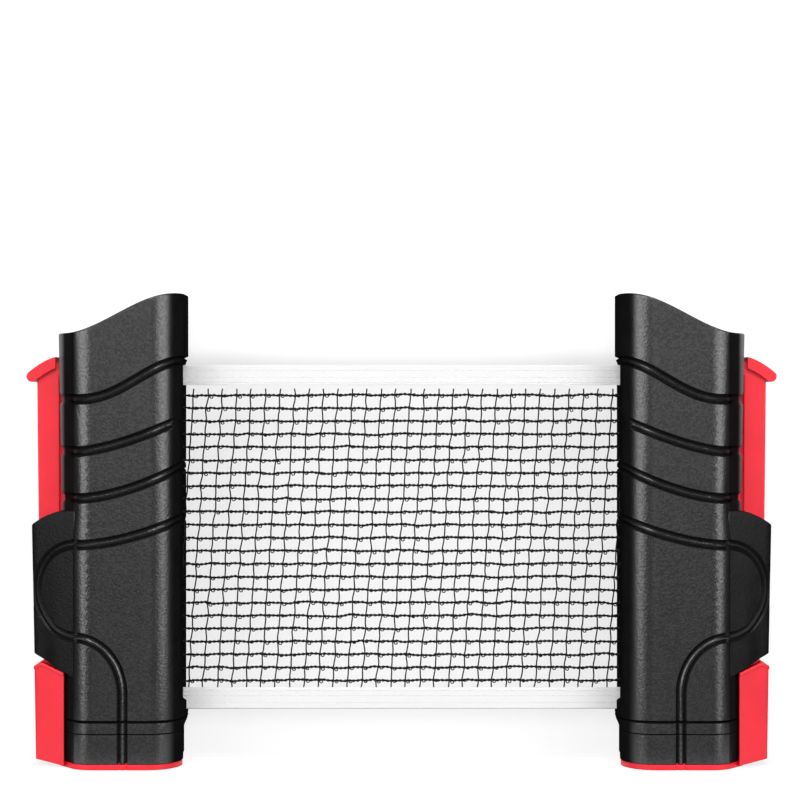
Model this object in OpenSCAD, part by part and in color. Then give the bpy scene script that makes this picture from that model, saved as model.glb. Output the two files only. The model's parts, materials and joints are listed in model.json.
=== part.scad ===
// Retractable table tennis net set: a net between two spring clamp posts.
// X runs along the net, Y is depth (front is -Y), Z is up. The set stands on z = 0.
// Every post is drawn once in its own frame: u = 0 is its inner face and u grows outwards,
// away from the net. side() sets it to the left (-1) or to the right (+1).

/* [Net] */
// Free width of net between the two posts
net_gap = 191; // [120:1:400]
// Height of the net over both tapes
net_h = 152.9; // [140:0.1:170]
// Height of the white tape along the top
top_tape_h = 9.1; // [6:0.1:16]
// Height of the white tape along the bottom
bottom_tape_h = 9.6; // [6:0.1:16]
// Thickness of each tape
tape_t = 1.2; // [0.8:0.1:1.4]
// Thickness of the netting
mesh_t = 0.9; // [0.6:0.1:1.1]
// Width of the cords of the netting
cord_w = 1.3; // [0.8:0.1:1.8]
// Columns of openings in the netting
mesh_columns = 24; // [12:1:25]
// Rows of openings in the netting
mesh_rows = 12; // [6:1:12]
// Sideways lean of the upright cords over the height of the netting
mesh_lean = 8.5; // [0:0.5:10]

/* [Post housing] */
// Width of the housing, across the net
body_w = 55; // [54:0.5:60]
// Depth of the housing, front to back
body_d = 46; // [45:0.5:52]
// Radius of its upright corners
corner_r = 16; // [13:0.5:18]
// Wall thickness
wall = 2.2; // [1.8:0.1:2.6]
// Height of the housing's head above the net at its outer side
head_low = 14; // [11:0.1:20]
// Further rise of the head towards its inner side
head_rise = 17.1; // [10:0.1:22]
// Height of the base cap
cap_h = 17.7; // [15:0.1:22]
// Depth of the net window in the inner face
window_depth = 1.15; // [0.8:0.05:1.4]
// Half width of the slot that the net runs out of
mouth_half = 1.3; // [1.1:0.1:1.6]

/* [Grooves] */
// Depth of the wavy grooves
groove_depth = 1.2; // [0.6:0.1:1.4]
// Width of each line of a double groove
groove_w = 1.6; // [1:0.1:2]
// Distance between the two lines of a double groove
groove_spacing = 2.9; // [2.4:0.1:3.4]

/* [Guide bracket] */
// How far the bracket stands out from the housing
bracket_out = 12.6; // [12.5:0.1:16]
// Height of its lower edge, beside the housing
bracket_low = 41.7; // [40:0.1:46]
// Height of its upper edge, beside the housing
bracket_high = 113; // [105:0.5:118]
// Slope of its lower edge, over its width
bracket_low_slope = 8; // [0:0.5:12]
// Slope of its upper edge, over its width
bracket_high_slope = 6.5; // [0:0.5:10]

/* [Jaw slider] */
// Thickness of the base plate that is the lower jaw
plate_t = 3; // [2.4:0.1:4]
// How far the jaw opens
jaw_travel = 50; // [30:1:52]
// How far the rail stands out from the housing
rail_out = 10.4; // [10.4:0.1:11]
// Half depth of the rail
rail_half = 7.5; // [7:0.1:8]
// Wall of the rail
rail_wall = 2; // [1.6:0.1:2.2]
// Height of the web block on the outer side
web_h = 45.9; // [44:0.1:46]
// Reach of the thumb hook beyond the rail
hook_reach = 4.3; // [3:0.1:6]
// Drop of the thumb hook from the housing to its tip
hook_drop = 6.9; // [4:0.1:9]
// Thickness of the thumb hook
hook_t = 5; // [4:0.1:6]
// Thickness of each rubber jaw pad
pad_t = 1.3; // [1:0.1:1.5]

/* [Clamp spring] */
// Outer diameter of the clamp spring
spring_d = 9; // [8:0.1:9.6]
// Wire diameter of the clamp spring
spring_wire = 1; // [0.6:0.1:1.2]
// Height of the ledge that the clamp spring stands on
ledge_z = 84; // [78:0.5:86]
// Thickness of the ledge
ledge_t = 4; // [3:0.5:6]
// Diameter of the spring guide pin
pin_d = 4; // [3:0.1:5]
// Length of the spring guide pin above its ledge
pin_up = 28; // [15:1:30]

/* [Spool] */
// Distance from the inner face to the spool's axis
spool_u = 23.6; // [23:0.1:24]
// Radius of the net that is wound on the spool
roll_r = 17.2; // [12:0.1:17.6]
// Radius of the spool's flanges
flange_r = 18.6; // [18:0.1:18.8]
// Thickness of the spool's flanges
flange_t = 1.5; // [1:0.1:2]
// Outer radius of the spool's core
core_r = 8; // [7.5:0.1:9]
// Bore radius of the spool's core
core_bore_r = 5.5; // [5.2:0.1:6]
// Diameter of the steel axle
axle_d = 3.96; // [3:0.01:5]

/* [Hidden] */
$fn = 64;
eps = 0.01;
big = 400;

running_gap = 0.3;            // clearance between pieces that slide past each other
axle_bore = axle_d + 0.04;    // fit of the axle in its fixed seats
bush_bore = axle_d + 0.14;    // running fit of the bushes on the axle

// heights, from the ground up
body_z = plate_t + running_gap;
seam_z = body_z + cap_h;
cap_rim_h = 3;
cap_rim_t = 1.5;
rim_gap = 0.1;                // between the rim and the shells
flange_z = seam_z + 0.9;
net_z = flange_z + flange_t + running_gap;
net_top = net_z + net_h;
spool_top = net_top + running_gap + flange_t;
boss_z = spool_top + 0.5;
boss_h = 3.5;
head_z = net_top + head_low;
head_from_u = body_w - 5;     // the head's rise starts here and ends at head_to_u
head_to_u = 3;
head_power = 0.93;

// the netting between its tapes
mesh_z = net_z + bottom_tape_h;
mesh_h = net_h - bottom_tape_h - top_tape_h;
net_end_u = spool_u - roll_r - 0.8;
net_half_w = net_gap / 2 + net_end_u;

// the window in the inner face, and the lips of the net's slot
window_z = net_z + 4.7;
window_top = net_top + 1.9;
lip_u = 3.6;
lip_half = 6;

// partition between the spool's chamber and the jaw's chamber
partition_t = 2;
partition_u = body_w - 10.5;
partition_z = seam_z + cap_rim_h + running_gap;

// guide bracket
bracket_u = body_w + bracket_out;
bracket_root_u = body_w - 5;
bracket_root_half = body_d / 2 - 4.4;
bracket_tip_half = 10;

// jaw slider
rail_u = body_w + rail_out;
rail_in_u = body_w + 0.4;
channel_half = rail_half + running_gap;
plate_in = 1.2;               // the plate's inner end stands back this far under the base cap
foot_t = 2;
foot_u = body_w - wall - 0.4 - foot_t;
foot_half = rail_half + 2.5;
foot_z = seam_z + cap_rim_h + 1 + jaw_travel;
hook_z = net_top + 3.5;       // height of the hook's upper side, beside the housing
hook_half = rail_half + 1.8;
hook_under_drop = hook_drop - 1.2;   // drop of the hook's underside over the rail
spring_top = hook_z - hook_t - 0.7 * hook_under_drop - 0.2;
slot_z = foot_z - jaw_travel - 0.5;
slot_top = hook_z + 1;
web_wall = 2.5;
web_gap = 0.4;                // between the web block and the housing
web_slope = 5;                // slope of the web's upper edge towards the housing

// clamp spring on its ledge
spring_offset = 1.3;          // the spring stands nearer to the rail's outer wall
spring_u = (rail_u - rail_wall + bracket_root_u + 1.5) / 2 + spring_offset;
ledge_half = rail_half - rail_wall - 0.5;
ledge_top = ledge_z + ledge_t;

// jaw pads
pad_margin = 6;
pad_proud = 0.1;

// screws
screw_d = 2.2;
screw_head_d = 4.4;
screw_head_h = 1.8;
screw_seat_y = 18.6;
screw_tip_y = -14;
boss_r = 3;
side_screw_u = partition_u + 2.4;
head_screw_u = 12;
low_screw_up = 15.5;          // above the foot of the slot
middle_screw_up = 16;         // above the ledge
high_screw_down = 11.6;       // below the net's top
head_screw_up = 9.5;          // above the spool
screws = [
    [side_screw_u, slot_z + low_screw_up],
    [side_screw_u, ledge_z + middle_screw_up],
    [side_screw_u, net_top - high_screw_down],
    [head_screw_u, spool_top + head_screw_up]
];

// wavy grooves: [drop below the net's top at the outer side, rise, power, inner end]
loop_below_bracket = 15.2;
loop_top = bracket_high - loop_below_bracket;
grooves = [
    [15.4, 16.8, 1.15, 0, true],
    [38.1, 14.3, 1.5, 6.5, false],
    [58.5, 14, 1.7, 0, false],
    [net_top - loop_top, 11.4, 1.7, 0, false]
];
groove_from_u = body_w - 10;
loop_u = body_w - 8.5;        // centre of the loop that groove 4 runs into
loop_a = 18;
loop_b = 20.2;
down_from = 100;              // angle at which the loop's run down to the base starts
foot_line_u = 26.4;           // the upright groove in the middle of the base
curve_steps = 12;

// return spring inside the spool's core
bush_h = 6;
anchor_z = flange_z + 12;
anchor_h = 6;
anchor_r = core_bore_r - 0.5;
return_spring_r = core_bore_r - 0.7;
return_spring_t = 1.4;

function smooth(t) = t * t * (3 - 2 * t);
function clamp01(t) = max(0, min(1, t));
function head_at(u) = head_z + head_rise * smooth(pow(clamp01((head_from_u - u) / (head_from_u - head_to_u)), head_power));

function groove_at(g, u) =
    let (t = clamp01((groove_from_u - u) / groove_from_u), s = pow(t, g[2]))
    net_top - g[0] + g[1] * (g[4] ? smooth(s) : s);
function groove_path(g) =
    [for (i = [0 : curve_steps + 1])
        let (u = i == 0 ? body_w + 2 : groove_from_u + (g[3] - 1 - groove_from_u) * (i - 1) / curve_steps)
        [u, groove_at(g, u)]];
function arc_path(c, r, from, to, steps) =
    [for (i = [0 : steps]) let (a = from + (to - from) * i / steps) [c[0] + r[0] * cos(a), c[1] + r[1] * sin(a)]];
function loop_path() =
    let (low = loop_top - 2 * loop_b)
    concat(
        arc_path([loop_u, loop_top - loop_b], [loop_a, loop_b], 90, -90, 2 * curve_steps),
        arc_path([loop_u, seam_z + 12], [loop_u - foot_line_u, low - seam_z - 12], down_from, 180, curve_steps),
        [[foot_line_u, 0]]);
// A path moved sideways by d, square to its own direction
function beside(path, d) =
    [for (i = [0 : len(path) - 1])
        let (
            a = path[max(0, i - 1)],
            b = path[min(len(path) - 1, i + 1)],
            run = norm(b - a)
        )
        path[i] + d * [a[1] - b[1], b[0] - a[0]] / run];
function reversed(list) = [for (i = [len(list) - 1 : -1 : 0]) list[i]];

// ---- helpers ----

// Puts a post's piece on the left (-1) or the right (+1)
module side(s) {
    mirror([s < 0 ? 1 : 0, 0, 0]) translate([net_gap / 2, 0, 0]) children();
}

// Upright block over the housing's plan, drawn in by inset
module plan_block(inset, z0, z1) {
    r = corner_r - inset;
    translate([0, 0, z0]) {
        translate([corner_r, inset - body_d / 2, 0])
            cube([body_w - 2 * corner_r, body_d - 2 * inset, z1 - z0]);
        translate([inset, corner_r - body_d / 2, 0])
            cube([body_w - 2 * inset, body_d - 2 * corner_r, z1 - z0]);
        for (u = [corner_r, body_w - corner_r], y = [corner_r - body_d / 2, body_d / 2 - corner_r])
            translate([u, y, 0]) cylinder(r = r, h = z1 - z0);
    }
}

// Extrudes an outline in (u, z) along Y, from y0 to y1
module across(y0, y1) {
    translate([0, y1, 0]) rotate([90, 0, 0]) linear_extrude(height = y1 - y0) children();
}

// Tube or rod along Z in the post's frame
module rod(u, r, z0, z1) {
    translate([u, 0, z0]) cylinder(r = r, h = z1 - z0);
}
module tube(u, r, bore, z0, z1) {
    difference() {
        rod(u, r, z0, z1);
        rod(u, bore, z0 - 1, z1 + 1);
    }
}

// Housing above the base cap, without its bracket, drawn in by inset
module housing_block(inset) {
    intersection() {
        plan_block(inset, seam_z - (inset > 0 ? 1 : 0), head_z + head_rise + 1);
        across(-big / 2, big / 2)
            polygon(concat(
                [[-2, 0], [body_w + 2, 0], [body_w + 2, head_z - inset]],
                [for (i = [0 : curve_steps]) let (u = head_from_u + (head_to_u - head_from_u) * i / curve_steps)
                    [u, head_at(u) - inset]],
                [[-2, head_at(0) - inset]]));
    }
}

// Plan of the guide bracket, drawn in by inset at its front and back
module bracket_plan(inset) {
    root = bracket_root_half - inset;
    tip = bracket_tip_half - inset;
    polygon([
        [bracket_root_u - 4, root], [bracket_root_u, root], [bracket_u - 1.4, tip], [bracket_u, tip - 2.2],
        [bracket_u, 2.2 - tip], [bracket_u - 1.4, -tip], [bracket_root_u, -root], [bracket_root_u - 4, -root]
    ]);
}

module bracket_block(inset) {
    intersection() {
        linear_extrude(height = big) bracket_plan(inset);
        across(-big / 2, big / 2)
            polygon([
                [bracket_root_u - 4, bracket_low],
                [body_w, bracket_low],
                [bracket_u, bracket_low + bracket_low_slope],
                [bracket_u, bracket_high - bracket_high_slope],
                [bracket_u - 5.4, bracket_high - 3.8],
                [body_w + 2, bracket_high - 1.4],
                [bracket_root_u, bracket_high],
                [bracket_root_u - 4, bracket_high]
            ]);
    }
}

// One line of a groove, as a thin wall that cuts it
module groove_line(path, d) {
    across(-big / 2, big / 2)
        polygon(concat(beside(path, d - groove_w / 2), reversed(beside(path, d + groove_w / 2))));
}
module groove_lines(path) {
    for (d = [-groove_spacing / 2, groove_spacing / 2]) groove_line(path, d);
}

// The grooves of the housing, no deeper than groove_depth
module housing_grooves() {
    difference() {
        union() {
            for (g = grooves) groove_lines(groove_path(g));
            groove_lines(loop_path());
        }
        housing_block(groove_depth);
        bracket_block(groove_depth);
    }
}

// What both shells share, before they are split at y = 0
module housing() {
    difference() {
        union() {
            difference() {
                union() {
                    housing_block(0);
                    bracket_block(0);
                }
                housing_block(wall);
            }
            intersection() {
                housing_block(wall / 2);
                union() {
                    translate([partition_u, -body_d / 2, partition_z])
                        cube([partition_t, body_d, big]);
                    rod(spool_u, 5, boss_z, big);
                    translate([0, -lip_half, partition_z])
                        cube([lip_u, 2 * lip_half, spool_top - partition_z]);
                    for (s = screws)
                        translate([s[0], body_d / 2, s[1]]) rotate([90, 0, 0]) cylinder(r = boss_r, h = body_d);
                }
            }
        }
        // slot and channel that the rail slides in
        translate([partition_u + partition_t + 4, -channel_half, slot_z])
            cube([rail_u + running_gap - partition_u - partition_t - 4, 2 * channel_half, slot_top - slot_z]);
        // the net's window and slot
        translate([-big + window_depth, -body_d, window_z]) cube([big, 2 * body_d, window_top - window_z]);
        translate([-1, -mouth_half, net_z - 0.6]) cube([lip_u + 2, 2 * mouth_half, net_h + 1.2]);
        // seat of the axle
        rod(spool_u, axle_bore / 2, boss_z - 1, boss_z + boss_h);
        // screw holes with their counterbores in the rear
        for (s = screws) translate([s[0], 0, s[1]]) rotate([-90, 0, 0]) {
            translate([0, 0, screw_tip_y]) cylinder(d = screw_d, h = screw_seat_y - screw_tip_y + 1);
            translate([0, 0, screw_seat_y]) cylinder(d = screw_head_d + 0.2, h = body_d);
        }
        housing_grooves();
    }
    spring_ledge();
}

// Ledge from the partition through the slot into the rail, with the hole of the guide pin
module spring_ledge() {
    difference() {
        translate([partition_u + partition_t - eps, -ledge_half, ledge_z])
            cube([rail_u - rail_wall - 0.8 - partition_u - partition_t, 2 * ledge_half, ledge_t]);
        rod(spring_u, pin_d / 2, ledge_z - 1, ledge_top + 1);
    }
}

// ---- black housing ----

module front_shell() {
    color("#2b2b2d")
        intersection() {
            housing();
            translate([-10, -big, 0]) cube([big, big, big]);
        }
}

module rear_shell() {
    color("#2f2f31")
        intersection() {
            housing();
            translate([-10, 0, 0]) cube([big, big, big]);
        }
}

module base_cap() {
    floor_t = pad_t + 1.9;
    color("#242426")
        difference() {
            union() {
                difference() {
                    plan_block(0, body_z, seam_z);
                    plan_block(wall, body_z + floor_t, seam_z + 1);
                }
                // rim that locates the shells, on a step inside the cap's wall
                difference() {
                    union() {
                        plan_block(wall - 0.5, seam_z - 3, seam_z);
                        plan_block(wall + rim_gap, seam_z - 1, seam_z + cap_rim_h);
                    }
                    plan_block(wall + rim_gap + cap_rim_t, seam_z - 4, seam_z + cap_rim_h + 1);
                }
                rod(spool_u, 6, body_z + 1, seam_z + 0.4);
            }
            rod(spool_u, axle_bore / 2, body_z + floor_t + 1, seam_z + 1);
            plan_block(pad_margin, body_z - 1, body_z + pad_t);
            translate([-1, -mouth_half, net_z - 0.6]) cube([lip_u + 2, 2 * mouth_half, big]);
            difference() {
                groove_lines(loop_path());
                plan_block(groove_depth, 0, big);
            }
        }
}

module upper_jaw_pad() {
    color("#3a3a3c") plan_block(pad_margin, body_z, body_z + pad_t);
}

// ---- red jaw ----

// Curve of the thumb hook's upper side, or of its underside, reach along u
function hook_curve(z0, drop, reach, power) =
    [for (i = [0 : curve_steps]) let (t = i / curve_steps) [rail_in_u + reach * t, z0 - drop * pow(t, power)]];

module thumb_hook() {
    bead_r = hook_t / 2 - 0.1;
    bead_u = rail_u + hook_reach - bead_r;
    reach = bead_u + bead_r * 0.6 - rail_in_u;
    across(-hook_half, hook_half)
        polygon(concat(
            hook_curve(hook_z, hook_drop, reach, 1.6),
            reversed(hook_curve(hook_z - hook_t, hook_under_drop, rail_u + 0.6 - rail_in_u, 1.5))));
    translate([bead_u, hook_half, hook_z - hook_drop - bead_r * 0.8]) rotate([90, 0, 0])
        cylinder(r = bead_r, h = 2 * hook_half);
}

// Rail: a channel that is open towards the housing, with feet behind the housing's wall
module rail() {
    inner_half = rail_half - rail_wall;
    top = spring_top + 3;
    difference() {
        union() {
            translate([rail_in_u, -rail_half, plate_t - eps])
                cube([rail_u - rail_in_u, 2 * rail_half, top - plate_t]);
            translate([foot_u, -rail_half, foot_z])
                cube([rail_u - foot_u, 2 * rail_half, top - foot_z]);
            translate([foot_u, -foot_half, foot_z])
                cube([foot_t, 2 * foot_half, top - foot_z]);
        }
        translate([foot_u - 1, -inner_half, plate_t + 3])
            cube([rail_u - rail_wall - foot_u + 1, 2 * inner_half, spring_top - plate_t - 3]);
    }
}

module web_block() {
    difference() {
        intersection() {
            linear_extrude(height = big) bracket_plan(0);
            across(-big / 2, big / 2)
                polygon([
                    [bracket_root_u, 0], [body_w + 3, 0], [bracket_u - 1.7, 1.2],
                    [bracket_u - 0.9, web_h], [bracket_u - 4.5, web_h],
                    [body_w, web_h - web_slope], [bracket_root_u, web_h - web_slope - 1]
                ]);
        }
        plan_block(-web_gap, plate_t, big);
        // the block is cored out towards the housing
        intersection() {
            linear_extrude(height = web_h) bracket_plan(web_wall);
            translate([0, -body_d, plate_t + web_wall])
                cube([bracket_u - 1.7 - web_wall, 2 * body_d, web_h - web_slope - 2 * web_wall - plate_t]);
        }
    }
}

module jaw_slider() {
    color("#e8303c")
        difference() {
            union() {
                intersection() {
                    plan_block(0, 0, plate_t);
                    translate([plate_in, -body_d, 0]) cube([big, 2 * body_d, plate_t]);
                }
                web_block();
                rail();
                thumb_hook();
            }
            plan_block(pad_margin, plate_t + pad_proud - pad_t, plate_t + 1);
        }
}

module lower_jaw_pad() {
    color("#5a2a2e") plan_block(pad_margin, plate_t + pad_proud - pad_t, plate_t + pad_proud);
}

// ---- clamp spring ----

// The clamp spring, as the sleeve that its coils fill
module clamp_spring() {
    color("silver") tube(spring_u, spring_d / 2, spring_d / 2 - spring_wire, ledge_top, spring_top);
}

module spring_guide_pin() {
    color("gray") {
        rod(spring_u, pin_d / 2, ledge_z, ledge_top + pin_up);
        rod(spring_u, pin_d / 2 + 0.8, ledge_z - 1, ledge_z);
    }
}

// ---- spool ----

module spool() {
    color("#dcdcd6")
        difference() {
            union() {
                rod(spool_u, core_r, flange_z, spool_top);
                rod(spool_u, flange_r, flange_z, flange_z + flange_t);
                rod(spool_u, flange_r, spool_top - flange_t, spool_top);
            }
            rod(spool_u, core_bore_r, flange_z - 1, spool_top + 1);
        }
}

module spool_axle() {
    color("lightsteelblue") rod(spool_u, axle_d / 2, body_z + pad_t + 3.2, boss_z + boss_h - 0.2);
}

module lower_bush() {
    color("#c9a24a") tube(spool_u, core_bore_r, bush_bore / 2, flange_z - 0.2, flange_z + bush_h);
}

module upper_bush() {
    color("#c9a24a") tube(spool_u, core_bore_r, bush_bore / 2, spool_top - bush_h, spool_top + 0.2);
}

module spring_anchor() {
    color("#8a8a8a") tube(spool_u, anchor_r, axle_d / 2, anchor_z, anchor_z + anchor_h);
}

// The return spring, as the sleeve that its coils fill
module return_spring() {
    color("silver")
        tube(spool_u, return_spring_r, return_spring_r - return_spring_t,
            anchor_z + anchor_h, spool_top - bush_h - running_gap);
}

module net_roll() {
    color("#3a3a3a") tube(spool_u, roll_r, core_r, net_z, net_top);
}

module shell_screws() {
    color("silver")
        for (s = screws) translate([s[0], 0, s[1]]) rotate([-90, 0, 0]) {
            translate([0, 0, screw_tip_y]) cylinder(d = screw_d, h = screw_seat_y - screw_tip_y + eps);
            translate([0, 0, screw_seat_y])
                difference() {
                    cylinder(d = screw_head_d, h = screw_head_h);
                    translate([-screw_head_d, -0.4, screw_head_h - 0.8]) cube([2 * screw_head_d, 0.8, 2]);
                }
        }
}

// ---- net ----

// Netting: one flat lattice whose upright cords lean by mesh_lean over its height
module net_mesh() {
    border = 1 + mesh_lean / 2;
    pitch_x = (2 * net_half_w - 2 * border) / mesh_columns;
    pitch_z = mesh_h / mesh_rows;
    half_lean = mesh_lean / 2;
    outline = [[-net_half_w, 0], [net_half_w, 0], [net_half_w, mesh_h], [-net_half_w, mesh_h]];
    openings = [for (i = [0 : mesh_columns - 1], j = [0 : mesh_rows - 1])
        let (
            x0 = -net_half_w + border + i * pitch_x + cord_w / 2,
            x1 = x0 + pitch_x - cord_w,
            z0 = j * pitch_z + cord_w / 2,
            z1 = z0 + pitch_z - cord_w,
            low = mesh_lean * z0 / mesh_h - half_lean,
            high = mesh_lean * z1 / mesh_h - half_lean
        )
        [[x0 + low, z0], [x1 + low, z0], [x1 + high, z1], [x0 + high, z1]]];
    points = concat(outline, [for (o = openings, p = o) p]);
    paths = [for (k = [0 : len(openings)]) [4 * k, 4 * k + 1, 4 * k + 2, 4 * k + 3]];
    color("#202020")
        translate([0, 0, mesh_z]) across(-mesh_t / 2, mesh_t / 2) polygon(points, paths);
}

module tape(z0, h) {
    translate([-net_half_w, -tape_t / 2, z0]) cube([2 * net_half_w, tape_t, h]);
}

module net_top_tape() {
    color("white") tape(mesh_z + mesh_h, top_tape_h);
}

module net_bottom_tape() {
    color("white") tape(net_z, bottom_tape_h);
}

side(-1) front_shell();  // left_front_shell
side(-1) rear_shell();  // left_rear_shell
side(-1) base_cap();  // left_base_cap
side(-1) upper_jaw_pad();  // left_upper_jaw_pad
side(-1) jaw_slider();  // left_jaw_slider
side(-1) lower_jaw_pad();  // left_lower_jaw_pad
side(-1) clamp_spring();  // left_clamp_spring
side(-1) spring_guide_pin();  // left_spring_guide_pin
side(-1) spool();  // left_spool
side(-1) spool_axle();  // left_spool_axle
side(-1) upper_bush();  // left_upper_bush
side(-1) lower_bush();  // left_lower_bush
side(-1) return_spring();  // left_return_spring
side(-1) spring_anchor();  // left_spring_anchor
side(-1) net_roll();  // left_net_roll
side(-1) shell_screws();  // left_shell_screws
side(1) front_shell();  // right_front_shell
side(1) rear_shell();  // right_rear_shell
side(1) base_cap();  // right_base_cap
side(1) upper_jaw_pad();  // right_upper_jaw_pad
side(1) jaw_slider();  // right_jaw_slider
side(1) lower_jaw_pad();  // right_lower_jaw_pad
side(1) clamp_spring();  // right_clamp_spring
side(1) spring_guide_pin();  // right_spring_guide_pin
side(1) spool();  // right_spool
side(1) spool_axle();  // right_spool_axle
side(1) upper_bush();  // right_upper_bush
side(1) lower_bush();  // right_lower_bush
side(1) return_spring();  // right_return_spring
side(1) spring_anchor();  // right_spring_anchor
side(1) net_roll();  // right_net_roll
side(1) shell_screws();  // right_shell_screws
net_mesh();
net_top_tape();
net_bottom_tape();
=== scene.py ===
"""Retractable table tennis net set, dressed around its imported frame.

Lengths in the geometry code are millimetres. A post's pieces are drawn in its own frame, the
same for both posts: u = 0 is the inner face and u grows outwards, y is depth (front is -y) and
z is up. place() carries them to the left (-1) or the right (+1) in metres.
"""

import json
import math

import bmesh
import bpy
import numpy as np
from bpy.props import FloatProperty, FloatVectorProperty, IntProperty, PointerProperty
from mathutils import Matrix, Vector, geometry


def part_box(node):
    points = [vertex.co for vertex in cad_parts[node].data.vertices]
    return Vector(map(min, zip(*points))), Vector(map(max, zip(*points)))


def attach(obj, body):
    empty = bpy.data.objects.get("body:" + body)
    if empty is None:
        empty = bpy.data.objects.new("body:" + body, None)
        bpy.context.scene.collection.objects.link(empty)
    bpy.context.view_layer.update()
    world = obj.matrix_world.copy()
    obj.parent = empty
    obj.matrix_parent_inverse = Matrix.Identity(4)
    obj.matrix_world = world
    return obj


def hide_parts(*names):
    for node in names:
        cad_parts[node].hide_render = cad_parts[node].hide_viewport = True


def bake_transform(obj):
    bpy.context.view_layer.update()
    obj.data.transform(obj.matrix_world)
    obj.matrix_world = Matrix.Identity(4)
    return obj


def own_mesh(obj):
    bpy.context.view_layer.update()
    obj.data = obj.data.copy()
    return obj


bl_info = {
    "name": "Retractable Net Set",
    "version": (1, 0, 0),
    "blender": (4, 5, 0),
    "location": "3D View > Sidebar > Net Set",
    "description": "Dresses the frame of a retractable table tennis net set",
    "category": "Object",
}

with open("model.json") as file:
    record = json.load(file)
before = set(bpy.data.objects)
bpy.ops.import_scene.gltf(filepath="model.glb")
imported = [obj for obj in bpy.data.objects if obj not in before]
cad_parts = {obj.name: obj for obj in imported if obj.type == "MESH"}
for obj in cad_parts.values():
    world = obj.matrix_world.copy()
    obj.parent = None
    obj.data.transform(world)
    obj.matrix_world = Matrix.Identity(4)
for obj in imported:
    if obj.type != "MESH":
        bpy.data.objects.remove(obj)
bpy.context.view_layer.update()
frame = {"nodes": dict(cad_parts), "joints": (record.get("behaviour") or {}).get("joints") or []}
MM = 0.001
SIDES = {"left": -1, "right": 1}


# ---- places taken from the frame ----


def box_mm(node):
    """Lowest and highest corner of a node, in millimetres."""
    low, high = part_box(node)
    return np.array(low) / MM, np.array(high) / MM


CAP_LOW, CAP_HIGH = box_mm("right_base_cap")
SHELL_LOW, SHELL_HIGH = box_mm("right_front_shell")
PLATE_LOW, PLATE_HIGH = box_mm("right_jaw_slider")
PAD_LOW, _ = box_mm("right_lower_jaw_pad")
SPRING_LOW, SPRING_HIGH = box_mm("right_clamp_spring")
COIL_LOW, COIL_HIGH = box_mm("right_return_spring")
SPOOL_LOW, SPOOL_HIGH = box_mm("right_spool")
ROLL_LOW, ROLL_HIGH = box_mm("right_net_roll")
TOP_TAPE_LOW, TOP_TAPE_HIGH = box_mm("net_top_tape")
LOW_TAPE_LOW, LOW_TAPE_HIGH = box_mm("net_bottom_tape")

FACE_X = CAP_LOW[0]  # the posts' inner faces stand at -FACE_X and +FACE_X
BODY_W = CAP_HIGH[0] - CAP_LOW[0]
BODY_D = CAP_HIGH[1] - CAP_LOW[1]
BRACKET_U = SHELL_HIGH[0] - FACE_X
HOOK_U = PLATE_HIGH[0] - FACE_X
SPRING_U = (SPRING_LOW[0] + SPRING_HIGH[0]) / 2 - FACE_X
SPOOL_U = (SPOOL_LOW[0] + SPOOL_HIGH[0]) / 2 - FACE_X
BODY_Z = CAP_LOW[2]
SEAM_Z = SHELL_LOW[2]
TOP_Z = SHELL_HIGH[2]
NET_Z = LOW_TAPE_LOW[2]
NET_TOP = TOP_TAPE_HIGH[2]
HOOK_Z = PLATE_HIGH[2]
NET_HALF = TOP_TAPE_HIGH[0]

# the post's own forms, in millimetres
CORNER_R = 16.0
HEAD_RISE = 17.5
HEAD_FROM_U = BODY_W - 5
HEAD_TO_U = 3.0
SEAM_GAP = 0.3  # half of the open seam between the shells and the base cap
LINE_Z = SEAM_Z - 5.4  # the fine line around the base cap
LIP_Z = 2.55  # the base cap's outer lip reaches down over the plate's rim
LIP_T = 1.3  # the lip's thickness
LEAN = 0.0214  # the outer side and the rail lean outwards, turned about the height LEAN_Z
LEAN_Z = 157.0
LEAN_FROM_Z = 100  # the body leans above and outside of these, fully 13 and 12 mm further on
LEAN_FROM_U = 41
SKIN = 1.9  # thickness of the outer skin that is drawn here, over the CAD's own inside
CAP_BACK = 0.9  # how far the base cap stands back from the body's inner face
SCREW_SEAT_Y = 18.6  # depth at which the screws' heads sit in the rear shell

# the red jaw
RAIL_U = HOOK_U - 4.3
RAIL_HALF = 7.5
CHANNEL_HALF = RAIL_HALF + 0.3
PLATE_T = 3.0
WEB_TOP = 45.7
WEB_DROP = 3.2
WEB_WALL = 2.5
WEB_HALF = 17.5
WEB_IN_U = 52.3
WEB_BEND_U = 63.8
HOOK_DROP = 6.9
SPINE_HALF = 5.45

# the guide bracket
BRACKET_LOW = 43.3
BRACKET_HIGH = 112.6
BRACKET_LEAN = 0.02

# the grooves: each one's middle at its outer end below the net's top, its rise inwards and its bend
GROOVES = ((15.4, 16.8, 1.15), (38.1, 14.3, 1.5), (58.5, 14.0, 1.7), (78.8, 11.4, 1.7))
TOP_GROOVE, SHORT_GROOVE, LOOP_GROOVE = 0, 1, 3
GROOVE_FROM_U = BODY_W - 10
GROOVE_OPEN_U = BODY_W - 6
GROOVE_STEP = 0.9  # distance of the mesh's points along a groove
GROOVE_REACH = 12  # points that are farther above or below a groove aren't measured to it
SHORT_GROOVE_U = 2.5  # the short groove starts here, the others at the inner face
FOOT_LINE_U = 25.9
LOOP_U = BODY_W - 8.5
LOOP_A = 19.0
LOOP_B = 20.2
LOOP_TOP = NET_TOP - GROOVES[LOOP_GROOVE][0]
LOOP_REACH = 38  # degrees of the loop on the housing, at each end

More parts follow.
